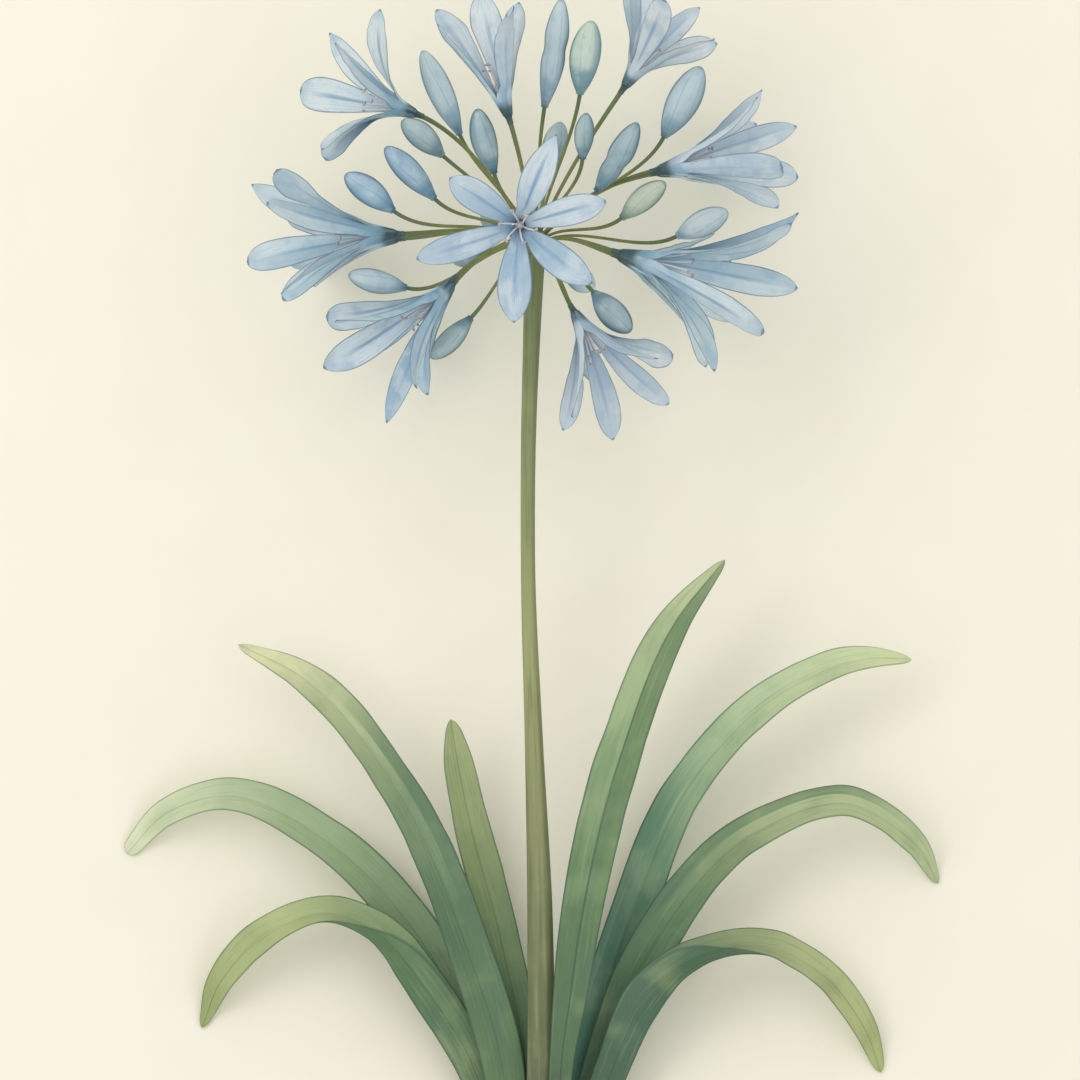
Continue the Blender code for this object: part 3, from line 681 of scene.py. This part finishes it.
# The rows that floret() reads for each flower, a value for each petal.
EVEN_PETALS = {row: (1,) * TEPALS for row in ("reach", "width", "point", "curl")}
EVEN_PETALS |= {row: (0,) * TEPALS for row in ("turn", "spread", "bend")}
UNEVEN_PETALS = {
    1: {
        "reach": (1.06, 0.99, 1, 1, 0.92, 1.01), "width": (1, 1.12, 1.08, 1.05, 1.05, 0.9),
        "point": (1.4, 1.8, 1.5, 1, 1, 1.1), "turn": (19, -4, 15, 3, 34, -6),
        "spread": (-26, 10, -3, -1, 0, -1), "bend": (0, 0, 0, -5, 0, 0),
    },
    2: {
        "reach": (1, 0.99, 1, 1.05, 1.05, 1.02), "width": (1.3, 1.2, 1.05, 1.1, 1, 0.9),
        "point": (1, 1, 1, 1.1, 1, 1.2), "turn": (0, -2, -6, -8, -1, 34),
        "spread": (1, 2, 1, 1, -5, 6),
    },
    3: {"reach": (1, 0.98, 0.94, 1, 1, 1), "spread": (0, 4, 0, 1, 0, 0)},
    4: {
        "reach": (1, 0.96, 1, 1.02, 1, 1), "width": (1, 1.4, 1, 0.95, 1.2, 1.2),
        "point": (0.9, 1, 1, 1, 1.2, 1.2), "turn": (3, -4, 2, -3, 5, -14),
        "spread": (0, 11, -1, -4, 11, 9), "curl": (1, 1.4, 1, 1, 2.2, 2.2),
    },
    5: {
        "reach": (1.02, 0.93, 0.89, 1, 1.07, 1.03), "width": (0.95, 1.2, 0.95, 0.95, 1.15, 1.1),
        "point": (1, 0.9, 1, 1.2, 1.3, 1.2), "turn": (7, -5, -7, -1, 8, -20),
        "spread": (-6, 16, 32, 0, 20, 16), "curl": (1, 1.5, 1.5, 1, 3, 3),
    },
    6: {
        "reach": (1.03, 1, 1.04, 0.98, 0.96, 1.01), "width": (1, 1.1, 0.95, 0.9, 1.6, 1),
        "point": (1, 1.5, 1, 1.3, 0.7, 0.9), "turn": (17, -3, 5, -4, 12, -12),
        "spread": (1, 5, -5, 0, 3, 4),
    },
    7: {
        "reach": (1.02, 0.99, 1.03, 1.02, 0.92, 0.98), "width": (0.9, 1.15, 1, 0.9, 0.9, 0.8),
        "point": (1, 0.8, 1, 1.5, 1, 1), "turn": (15, -2, 0, 3, 18, 1),
        "spread": (-2, -7, -3, -1, 6, 8), "curl": (1, 1, 1, 1, 2.6, 2),
    },
    8: {
        "reach": (1.03, 0.98, 1.05, 1, 0.95, 0.98), "width": (1, 1.6, 1.05, 0.95, 0.9, 0.9),
        "point": (1, 0.8, 1.4, 1, 1, 1), "turn": (8, -4, -9, 0, 7, -3),
        "spread": (-9, -2, 4, -1, 4, 8), "curl": (1, 1.3, 2.2, 1, 1.3, 1.3),
    },
    9: {
        "reach": (0.88, 1.08, 0.96, 0.98, 1, 1), "width": (1, 1.08, 1.16, 1.06, 0.9, 1.3),
        "point": (1, 1, 1.2, 1, 1.1, 1.4), "turn": (0, 0, 7, 0, -1, -11),
    },
    10: {"reach": (0.92, 0.86, 0.9, 0.86, 0.84, 0.8), "spread": (0, -6, -6, 0, 4, 0)},
    11: {"reach": (0.9, 0.9, 0.9, 0.84, 0.76, 0.9), "spread": (0, 0, 0, -10, -16, 0)},
    12: {"reach": (0.9, 0.9, 0.9, 0.9, 0.9, 0.84)},
    13: {"reach": (0.9, 0.9, 0.9, 0.9, 0.9, 0.9)},
}


def flower_axes(bearing, lean, turn):
    """A flower's own axes: outwards from its axis at zero turn, sideways, and along it."""
    axis = heading(bearing, lean)
    side = unit(np.cross(axis, (0, 1, 0) if lean > UPRIGHT_LEAN else (0, 0, 1)))
    top = np.cross(side, axis)
    angle = math.radians(turn)
    outward = math.cos(angle) * top + math.sin(angle) * side
    return outward, np.cross(axis, outward), axis


def tepal_course(rows, own_length, length, spread, curl):
    """The distance from the flower's axis and along it, and the tilt, at each row.

    The tilt grows from the tube's to spread, late where curl is high. The tube is as long in
    every petal, and a shorter petal is shorter past it.
    """
    fine = np.linspace(0, 1, TEPAL_COURSE_STEPS + 1)
    opening = np.clip((fine - TEPAL_BEND_START) / (1 - TEPAL_BEND_START), 0, 1)
    tilt = np.radians(TUBE_TILT + (spread - TUBE_TILT) * opening**curl)
    past_tube = (own_length - length * TUBE_END) / (1 - TUBE_END)
    in_tube = (fine[1:] + fine[:-1]) / 2 < TUBE_END
    step = np.diff(fine) * np.where(in_tube, length, past_tube)
    middle = (tilt[1:] + tilt[:-1]) / 2
    out = np.concatenate([[0], np.cumsum(step * np.sin(middle))]) + TUBE_RADIUS
    far = np.concatenate([[0], np.cumsum(step * np.cos(middle))])
    return np.interp(rows, fine, out), np.interp(rows, fine, far), np.interp(rows, fine, tilt)


def tepal_half_width(rows, out, width, taper, closing):
    """Narrow at the tube and widest at two thirds. A low taper and a high closing point the tip."""
    t = np.clip((rows - TEPAL_NARROW_ROOT) / (1 - TEPAL_NARROW_ROOT), 0, 1)
    shape = t**TEPAL_SWELL * (1 - t**taper) ** closing / TEPAL_SHAPE_PEAK
    tip = 0.8 * np.sqrt(np.clip((1 - rows) / 0.02, 0.02, 1))
    return np.minimum(np.maximum(width / 2 * shape, tip), TEPAL_CROWDING * out)


def floret(plan, own, seed):
    """Six petals: round sectors of a tube first, then cupped blades that spread.

    A point is the petal's course out from the axis and along it, plus v half widths across,
    plus a cup that grows with v squared. The edges ruffle and the midrib is a shallow groove.
    own has what sets each petal apart: factors of its length, width, pointedness and curl,
    degrees added to its turn round the axis and to its spread, and a bend sideways.
    """
    stalk, bearing, lean, length, width, face_bearing, face_lean, spread, turn = plan[:-1]
    outward, sideways, axis = flower_axes(face_bearing, face_lean, turn)
    base = UMBEL + heading(bearing, lean) * stalk + axis * (GAP + TEPAL_THICKNESS / 2)
    rows = 1 - (1 - np.linspace(0, 1, TEPAL_STEPS)) ** 1.25
    v = -np.cos(np.linspace(0, math.pi, TEPAL_ACROSS))
    draw = np.random.default_rng(seed)
    free = np.clip((rows - TUBE_END) / TUBE_BLEND, 0, 1)[:, None]
    free = free * free * (3 - 2 * free)
    grown = np.clip((rows - TUBE_END) / (1 - TUBE_END), 0, 1)[:, None]
    sector = math.radians(TUBE_SECTOR) * v
    grids = []
    for petal, (reach, broad, point, curl, swung, opened, bend) in enumerate(zip(*own.values())):
        angle = TURN / TEPALS * petal + math.radians(swung) * free
        at_side = math.sin(angle[-1, 0] + math.radians(turn)) ** 2
        own_length = length * (1 - TEPAL_SIDE_SHORTENING * at_side) * draw.uniform(0.97, 1.03)
        own_length = own_length * reach
        own_spread = spread + opened + draw.uniform(-4, 4)
        out, far, tilt = tepal_course(rows, own_length, length, own_spread, TEPAL_CURL * curl)
        taper = TEPAL_TIP_TAPER * draw.uniform(0.58, 1.3) / point**0.5
        closing = TEPAL_TIP_CLOSING * draw.uniform(0.85, 1.55) * point
        own_width = width * draw.uniform(0.92, 1.1) * broad
        half = tepal_half_width(rows, out, own_width, taper, closing)
        out, far, tilt, half = (row[:, None] for row in (out, far, tilt, half))
        across = (1 - free) * out * np.sin(sector) + free * half * v
        inward = (1 - free) * out * (1 - np.cos(sector)) + free * TEPAL_CUP * half * v**2
        ruffle = waves(rows, seed * 10 + petal, 2, 4)[:, None] * np.sign(v)
        inward = inward + TEPAL_RUFFLE * ruffle * v**2 * grown
        groove = TEPAL_GROOVE * np.exp(-((v / TEPAL_GROOVE_WIDTH) ** 2))
        inward = inward - groove * free * (1 - grown**4)
        across = across + (bend + draw.uniform(-2.2, 2.2)) * grown**2
        spoke = np.cos(angle) * outward + np.sin(angle) * sideways
        tangent = np.cos(angle) * sideways - np.sin(angle) * outward
        leaning = tilt * free
        inner = np.sin(leaning) * axis - np.cos(leaning) * spoke
        twist = np.radians(TEPAL_TWIST) * min(1, spread / TWIST_FULL_SPREAD)
        twist = twist * tangent[-1, 2] * abs(tangent[-1, 2]) * (1 - abs(axis[2]))
        twist = (twist * grown**0.6 * free)[..., None]
        wide = np.cos(twist) * tangent[:, None] - np.sin(twist) * inner[:, None]
        face = np.cos(twist) * inner[:, None] + np.sin(twist) * tangent[:, None]
        shift = WHORL_STEP * (1 if petal % 2 else -1) * free
        middle = base + far * axis + (out + shift) * spoke
        place = middle[:, None] + across[..., None] * wide + inward[..., None] * face
        edge = np.sqrt(1 - v**2) ** 0.7 * np.ones_like(rows)[:, None]
        thickness = TEPAL_THICKNESS * edge * (1 - TEPAL_TIP_THINNING * grown**2)
        points, s, share = thickened(rested(place, TEPAL_THICKNESS), thickness, rows, v)
        share = (petal + UV_MARGIN / 2 + (1 - UV_MARGIN) * share) / TEPALS
        grids.append((points, s, share))
    return grids, (base, outward, sideways, axis)


def tepal_finish(name, blues, seed):
    """Soft blue: deep at the tube, pale towards the tip, a darker stripe and thin dark edges.

    The map runs once across all six petals, so its whole part picks a tone for each petal.
    """
    foot, throat, body, pale, stripe, outline, strength = blues
    look, start, s, share = new_look(name)
    number = (share * float(TEPALS)).math("FLOOR")
    v = (share * float(TEPALS)).math("FRACT")
    tone = start.node("TexWhiteNoise", {"W": number + seed}, outlet="Value", noise_dimensions="1D")
    vein = start.grain(s * 5, v * 16, number + seed)
    thread = start.grain(s * 3 + v * 2, v * 30, number + seed, 1)
    wash = start.cloud(0.012)
    reach = s + (wash - 0.5) * 0.24
    colour = reach.band((0, foot), (0.06, foot), (0.14, throat), (0.36, body), (0.72, pale))
    # Paler tints laid at random on whole petals and in cloudy patches: partly random tone, partly
    # painted highlights.
    colour = (tone.rise(0.45, 1) * 0.55).over(colour, TEPAL_HIGHLIGHT)
    colour = ((1 - tone).rise(0.5, 1) * 0.55).over(colour, throat)
    colour = (wash.rise(0.5, 0.64) * 0.42).over(colour, TEPAL_HIGHLIGHT_WASH)
    colour = ((1 - wash).rise(0.54, 0.68) * 0.4).over(colour, throat)
    colour = (vein.rise(0.55, 0.75) * 0.26).over(colour, throat)
    pencil = 1 - abs(thread - 0.5).rise(0.006, 0.03)
    colour = (pencil * s.rise(0.16, 0.34) * (wash * 0.8)).over(colour, stripe)
    colour = (s.rise(0.86, 0.98) * (0.15 + tone * 0.3)).over(colour, throat)
    dark_foot = 1 - s.rise(0.05, 0.11)
    colour = (dark_foot * 0.9).over(colour, foot)
    off_middle = abs(v * 2 - 1)
    # Painted shade: on some petals, picked by their tone, one half is darker, as if turned from the
    # light, up to near the tip.
    half = v.rise(0.46, 0.54) * tone.rise(0.3, 0.4) * (1 - tone.rise(0.66, 0.76))
    colour = (half * (1 - s.rise(0.8, 0.98)) * 0.45).over(colour, throat)
    line = (1 - off_middle.rise(0.03, 0.21)) * (1 - s.rise(0.62, 0.92)) * s.rise(0.16, 0.32)
    line = line * (0.25 + vein * 0.6 + tone * 0.6)
    colour = (line * strength).over(colour, stripe)
    rim = off_middle.rise(0.88, 0.95).math("MAXIMUM", s.rise(0.976, 0.99)) * s.rise(0.1, 0.24)
    colour = (rim * (0.55 + vein * 0.5)).over(colour, outline)
    height = vein * 0.7 + wash * 0.5 - line * 0.5
    glow = {"Subsurface_Weight": 0.08, "Subsurface_Scale": 0.002}
    return lay(look, colour, 0.5 + vein * 0.16, height, 0.00022, **glow)


# Foot, throat, body, tip, stripe and outline, then how strong the stripe is.
TEPAL_BLUES = {
    "sky": ("35535A", "84ABC2", "B3CCD9", "C6D7DE", "6B98B8", "587D90", 0.7),
    "lilac": ("4C6A78", "95B0C6", "B2C7D4", "C9D6DE", "7C9CBA", "66839A", 0.6),
    "deep": ("2F4C52", "78A0BB", "A7C5D7", "B9CFDD", "628FB0", "517A8E", 0.7),
    "pale": ("385960", "91B1C8", "BED1DC", "D0DDE3", "789CBA", "64879C", 0.5),
    "open": ("D2D0D6", "94B2C8", "A8C2D3", "BFD0DB", "5C8CB8", "5E8298", 0.65),
}
flower_places = {}
for number, plan in FLORETS.items():
    name = f"floret_{number}"
    own = EVEN_PETALS | UNEVEN_PETALS[number]
    grids, flower_places[number] = floret(plan, own, number)
    seed = 10.37 * (number - 1) + 2.6
    blue = tepal_finish(name + "_blue", TEPAL_BLUES[plan[-1]], seed)
    show(name + "_petals", grids, blue, "tepal", name)


# The stamens: inside each open flower, six curved threads with a small pollen case at the end
# of each, and a thinner style on its ovary. They grew from the tube, and are pale and waxy.

STAMEN_RADIUS = 0.36
ANTHER_LENGTH = 2.4
ANTHER_RADIUS = 0.62
THREAD_STEPS = 26
THREAD_TINTS = ("B4C0D2", "E6E4E8")
THREAD_CLOUD = "C3BCC8"
ANTHER_TINTS = ("A29DAF", "D6CCC2")


def thread_path(base, outward, sideways, axis, reach, spread, lift):
    """A thread that rises inside the tube, leans out and turns its end up."""
    t = np.linspace(0, 1, THREAD_STEPS)[:, None]
    away = 0.9 + spread * t**1.6
    return base + reach * (0.14 + 0.86 * t) * axis + away * outward + lift * t**3 * sideways


def stamens(length, spread, place, seed):
    """Six threads at equal turns round the axis, each with its pollen case, and the style."""
    base, outward, sideways, axis = place
    draw = np.random.default_rng(seed)
    wide = length * 0.08 * (0.5 + spread / 90)
    threads, cases = [], []
    for turn in np.arange(6) * math.pi / 3 + draw.uniform(0.2, 0.5):
        spoke = math.cos(turn) * outward + math.sin(turn) * sideways
        tangent = math.cos(turn) * sideways - math.sin(turn) * outward
        reach = length * draw.uniform(0.36, 0.44) * (1 - 0.15 * spread / 90)
        path = thread_path(base, spoke, tangent, axis, reach, wide * draw.uniform(0.6, 1.2), 1.2)
        threads.append(round_tube(path, STAMEN_RADIUS * np.linspace(1.3, 0.8, THREAD_STEPS), 10))
        t = np.linspace(-1, 1, 14)
        swell = ANTHER_RADIUS * np.sqrt(1 - 0.97 * t**2)
        lying = unit(axis * 0.3 + tangent + spoke * draw.uniform(-0.5, 0.5))
        cases.append(round_tube(path[-1] + (t * ANTHER_LENGTH / 2)[:, None] * lying, swell, 12))
    style = thread_path(base, outward, sideways, axis, length * 0.33, wide * 0.2, 0.6)
    threads.append(round_tube(style, np.full(THREAD_STEPS, STAMEN_RADIUS * 0.9), 10))
    t = np.linspace(0, 1, 24)
    ovary = base + (0.4 + 7.5 * t)[:, None] * axis
    threads.append(round_tube(ovary, 0.1 + 1.75 * np.sin(math.pi * t**0.8) ** 0.8, 20))
    return threads, cases


def thread_finish():
    """Waxy bluish white, a little deeper at the root."""
    look, start, s, _ = new_look("stamen_thread")
    cloud = start.cloud(0.004)
    colour = s.rise(0, 0.5).over(*THREAD_TINTS)
    colour = (cloud.rise(0.5, 0.8) * 0.3).over(colour, THREAD_CLOUD)
    return lay(look, colour, 0.4 + cloud * 0.2, cloud, 0.0002)


def anther_finish():
    """Powdery mauve grey with warmer grains of pollen."""
    look, start, *_ = new_look("anther_pollen")
    dust = start.cloud(0.0006)
    colour = dust.rise(0.4, 0.65).over(*ANTHER_TINTS)
    return lay(look, colour, 0.7 + dust * 0.2, dust, 0.0004)


thread_look, anther_look = thread_finish(), anther_finish()
for number, plan in FLORETS.items():
    name = f"floret_{number}"
    threads, cases = stamens(plan[3], plan[7], flower_places[number], 59 + number)
    show(name + "_threads", threads, thread_look, "tepal", name)
    show(name + "_anthers", cases, anther_look, "tepal", name)


# The buds: twenty-one closed flowers of different ages, each of six petals folded edge over
# edge into a smooth spindle on its own stalk. Young ones are greenish, older ones blue.

# Each plan is the stalk's length, bearing and lean, then the bud's length, width, bearing and
# lean, and its blue.
BUDS = {
    1: (52, -47, 16, 22, 10.4, -49, 12, "mist"),
    2: (53, -35, -10, 37, 10.4, -24, -6, "sky"),
    3: (38, -31, 34, 28, 10.4, -15, 20, "slate"),
    4: (50, -67, 30, 30, 10, -44, 20, "deep"),
    5: (65, -78, 28, 25, 10.8, -53, 16, "deep"),
    6: (57, -110, 18, 24, 9.6, -77, 8, "sky"),
    7: (43, -140, 24, 23, 8.8, -136, 8, "mist"),
    8: (40, 131, 40, 23, 11.2, 137, 20, "slate"),
    9: (54, 4, 8, 44, 10.4, 9, 4, "sky"),
    10: (62, 17, 10, 30, 12.4, 9, 6, "mint"),
    11: (42, 30, 26, 19, 8, 5, 16, "slate"),
    12: (40, 51, 38, 34, 10.4, 31, 22, "slate"),
    13: (66, 51, 4, 32, 13.2, 28, 4, "sky"),
    14: (44, 75, 36, 24, 9.6, 51, 22, "pale"),
    15: (58, 88, 14, 23, 10.8, 64, 8, "milk"),
    16: (34, 0, -78, 22, 9, 0, -70, "mint"),
    17: (54, 154, -40, 22, 9, 162, -30, "mist"),
    18: (48, -60, -74, 24, 9.6, -60, -66, "slate"),
    19: (42, 128, -68, 26, 10, 128, -60, "sky"),
    20: (44, -100, -62, 24, 10, -100, -58, "mist"),
    21: (42, 12, -46, 26, 10, 12, -40, "slate"),
}
BUD_SKEW = 1.15
BUD_FULLNESS = 0.54
BUD_NECK = 1.5
BUD_STEPS = 60
BUD_AROUND = 60
BUD_WAISTS = {9: 0.54, 12: 0.42}
BUD_WAIST_DEPTH = 0.16
BUD_WAIST_REACH = 0.09
BUD_FOLD_WIDTH = 0.22
BUD_FOLD_DEPTH = 0.03
BUD_BEND = 0.018
BUD_TURN = 0.7
BUD_WASH = "CFDADB"


def bud(plan, waist, seed):
    """A spindle: a profile swollen near its middle, turned, with six shallow folds.

    The radius is half the width times the sine of pi t to the power 1.15, to the power 0.54.
    Each fold is a groove that winds slowly round as it climbs. A half-open bud has a waist.
    """
    stalk, bearing, lean, length, width, face_bearing, face_lean = plan[:-1]
    outward, sideways, axis = flower_axes(face_bearing, face_lean, 0)
    base = UMBEL + heading(bearing, lean) * stalk + axis * GAP
    t = 0.5 - 0.5 * np.cos(np.linspace(0.02, 0.985, BUD_STEPS) * math.pi)
    angle = once_round(BUD_AROUND)
    swell = np.sin(math.pi * t**BUD_SKEW) ** BUD_FULLNESS
    neck = BUD_NECK * np.clip(1 - t * 2.2, 0, 1)
    radius = ((width / 2 * swell) ** 3 + neck**3) ** (1 / 3)
    if waist:
        nearness = np.exp(-(((t - waist) / BUD_WAIST_REACH) ** 2))
        radius = radius * (1 - BUD_WAIST_DEPTH * nearness)
    fold = angle + 0.5 * t[:, None] + seed
    groove = np.exp(-((np.sin(3 * fold) / BUD_FOLD_WIDTH) ** 2)) * np.sin(math.pi * t)[:, None]
    reach = radius[:, None] * (1 - BUD_FOLD_DEPTH * groove + 0.012 * np.cos(3 * fold))
    bend = BUD_BEND * length * np.sin(math.pi * t) * math.cos(seed * 2.4)
    round_it = np.cos(angle)[:, None] * outward + np.sin(angle)[:, None] * sideways
    middle = base + (length * t)[:, None] * axis + bend[:, None] * sideways
    return middle[:, None] + reach[..., None] * round_it, t, np.linspace(0, 1, BUD_AROUND + 1)


def bud_finish(name, blues, seed, side):
    """From a deep foot through the bud's own colour to its tip, with faint darker folds.

    Both flanks have a thin darker line. One, which side's sign picks, has a deeper wash, painted
    shade.
    """
    foot, low, body, tip, border = blues
    look, start, t, turn = new_look(name)
    streak = start.round_grain(t * 4, turn, 3.5)
    wash = start.cloud(0.008)
    reach = t + (wash - 0.5) * 0.2
    colour = reach.band((0.02, foot), (0.15, low), (border, low), (border + 0.14, body), (1, tip))
    colour = (streak.rise(0.5, 0.75) * 0.28).over(colour, low)
    colour = (wash.rise(0.52, 0.68) * 0.36).over(colour, BUD_WASH)
    colour = ((1 - wash).rise(0.54, 0.68) * 0.4).over(colour, low)
    winding = (turn * TURN + t * 0.5 + seed) * 3
    fold = 1 - abs(winding.math("SINE")).rise(0.02, 0.16)
    colour = (fold * (0.1 + streak * 0.35)).over(colour, foot)
    flank = (turn * TURN).math("SINE")
    # Painted shade: a deeper wash down the flank that side picks.
    colour = ((flank * side).rise(0.3, 0.95) * (0.35 + wash * 0.7)).over(colour, low)
    colour = (abs(flank).rise(0.8, 0.95) * (0.4 + streak * 0.6)).over(colour, foot)
    colour = (t.rise(0.95, 0.995) * 0.5).over(colour, foot)
    return lay(look, colour, 0.48 + streak * 0.18, streak * 0.6 - fold * 0.2, 0.00025)


# Foot, low part, body and tip, then where the low part ends.
BUD_BLUES = {
    "slate": ("3E5F6C", "6B8F9F", "98B1B9", "A3BAC2", 0.2),
    "mist": ("3E6068", "7598A3", "A3BBC1", "B0C5C8", 0.22),
    "deep": ("3E6884", "7096B2", "98B7CB", "A9BFD1", 0.22),
    "sky": ("4F7282", "8FADC0", "BBD0DB", "C2D3DC", 0.18),
    "milk": ("6489A0", "A3BDCD", "D2DFE6", "D6E1E7", 0.16),
    "mint": ("6E9096", "7C9FAB", "BED1C3", "C7D7C8", 0.27),
    "pale": ("5C776C", "96A89C", "C5CEBC", "B8C3B6", 0.14),
}
for number, plan in BUDS.items():
    name = f"bud_{number}"
    seed, shaded_flank = BUD_TURN * (number - 1), math.copysign(1, plan[5])
    blue = bud_finish(name + "_blue", BUD_BLUES[plan[-1]], seed, shaded_flank)
    grid = bud(plan, BUD_WAISTS.get(number), seed)
    show(name + "_folded", [grid], blue, "bud", name)


# The stalks: a thin green stalk from the knob to each floret and bud, thicker where it meets
# the flower. They are part of the stem's one body, and a collar holds each floret's tube.

FLORET_STALK = (0.72, 1.05)
BUD_STALK = (0.58, 0.85)
STALK_ROOT = 3
STALK_UPWARD = (0, 0.4, 0.08)
STALK_LEAVE = 0.33
STALK_ARRIVE = 0.3
STALK_STEPS = 40
STALK_SINK = 1.6
COLLAR_SPAN = (-4, 3.2)
COLLAR_RADIUS = 1.2
COLLAR_SWELL = 1


def stalk_path(length, bearing, lean, flower_bearing, flower_lean):
    """A cubic curve from the knob that leaves along the stem and ends inside its flower."""
    way, facing = heading(bearing, lean), heading(flower_bearing, flower_lean)
    start = UMBEL + way * STALK_ROOT
    end = UMBEL + way * length
    leave = start + unit(way + np.array(STALK_UPWARD)) * length * STALK_LEAVE
    arrive = end - facing * length * STALK_ARRIVE
    t = np.linspace(0, 1, STALK_STEPS)[:, None]
    bend = start * (1 - t) ** 3 + 3 * leave * t * (1 - t) ** 2
    bend = bend + 3 * arrive * t**2 * (1 - t) + end * t**3
    return np.concatenate([bend, (end + facing * STALK_SINK)[None]])


def collar(base, axis):
    """The swollen end of the stalk that the tube sits on, as a turned profile."""
    far = np.linspace(*COLLAR_SPAN, 22)
    ring = COLLAR_RADIUS + COLLAR_SWELL * np.exp(-((far - 1) ** 2) / 3.4)
    return round_tube(base + far[:, None] * axis, ring, 24)


swelling = np.linspace(0, 1, STALK_STEPS + 1) ** 2
stalk_grids = []
for plans, (thin, thick) in ((FLORETS, FLORET_STALK), (BUDS, BUD_STALK)):
    radii = thin + (thick - thin) * swelling
    for plan in plans.values():
        stalk_grids.append(round_tube(stalk_path(*plan[:3], *plan[5:7]), radii, 14))
stalk_green = stem_finish("stalk_green", "6F7B45", "82864A", "7C8648", "5A6C4A", 0)
show("flower_stalks", stalk_grids, stalk_green, "stem", "flower_stem")
collar_grids = [collar(place[0], place[3]) for place in flower_places.values()]
collar_look = stem_finish("collar_green", "4F6648", "35555A", "2F4B50", "3A5A6A", 0)
show("flower_collars", collar_grids, collar_look, "stem", "flower_stem")


# The table, the light and the camera: a plain cream table under the plant, wide soft lights
# from above on both sides, and a camera that looks straight down and frames the picture.

PLAN_FRAME_MIDDLE = (0, 260)
FRAME_WIDTH = 0.432
CAMERA_DISTANCE = 12
FOCUS_HEIGHT = 0.06
SENSOR = 36
TABLE_DROP = 0.0003
TABLE_HALF = 30
TABLE_CREAMS = ("F6F2E3", "F3EEDC")


def table_finish():
    """Matt cream paint with a faint grain."""
    look, start, *_ = new_look("table_cream")
    cloud = start.cloud(0.05)
    colour = (cloud.rise(0.3, 0.7) * 0.4).over(*TABLE_CREAMS)
    return lay(look, colour, 0.8 + cloud * 0.1, cloud, 0.0002)


table_mesh = bpy.data.meshes.new("table")
corner_signs = ((-1, -1), (1, -1), (1, 1), (-1, 1))
table_corners = [(x * TABLE_HALF, y * TABLE_HALF, -TABLE_DROP) for x, y in corner_signs]
table_mesh.from_pydata(table_corners, [], [(0, 1, 2, 3)])
table_mesh.materials.append(table_finish())
table = bpy.data.objects.new("table", table_mesh)
bpy.context.scene.collection.objects.link(table)


def soft_light(name, place, size, power, colour):
    """A wide square light that faces the middle of the plant."""
    lamp = bpy.data.lights.new(name, "AREA")
    lamp.size = size
    lamp.energy = power
    lamp.color = colour
    made = bpy.data.objects.new(name, lamp)
    made.location = place
    x, y, z = place
    made.rotation_euler = (math.atan2(math.hypot(x, y), z), 0, math.atan2(-x, y))
    bpy.context.scene.collection.objects.link(made)


soft_light("key_light", (-1.3, 1, 2.4), 2.2, 34, (1, 0.98, 0.94))
soft_light("fill_light", (1.6, -0.8, 2.2), 2.6, 16, (0.95, 0.98, 1))
world = bpy.data.worlds.new("soft_room")
world.use_nodes = True
world.node_tree.nodes["Background"].inputs["Color"].default_value = (1, 0.99, 0.96, 1)
world.node_tree.nodes["Background"].inputs["Strength"].default_value = 0.86
bpy.context.scene.world = world

camera_data = bpy.data.cameras.new("camera")
camera_data.sensor_width = SENSOR
camera_data.lens = SENSOR * CAMERA_DISTANCE / FRAME_WIDTH
camera_data.clip_end = 4 * CAMERA_DISTANCE
camera = bpy.data.objects.new("camera", camera_data)
camera.location = (
    PLAN_ORIGIN[0] + PLAN_FRAME_MIDDLE[0] * MM,
    PLAN_ORIGIN[1] + PLAN_FRAME_MIDDLE[1] * MM,
    CAMERA_DISTANCE + FOCUS_HEIGHT,
)
bpy.context.scene.collection.objects.link(camera)
bpy.context.scene.camera = camera
bpy.context.scene.view_settings.view_transform = "Standard"

bpy.context.view_layer.update()
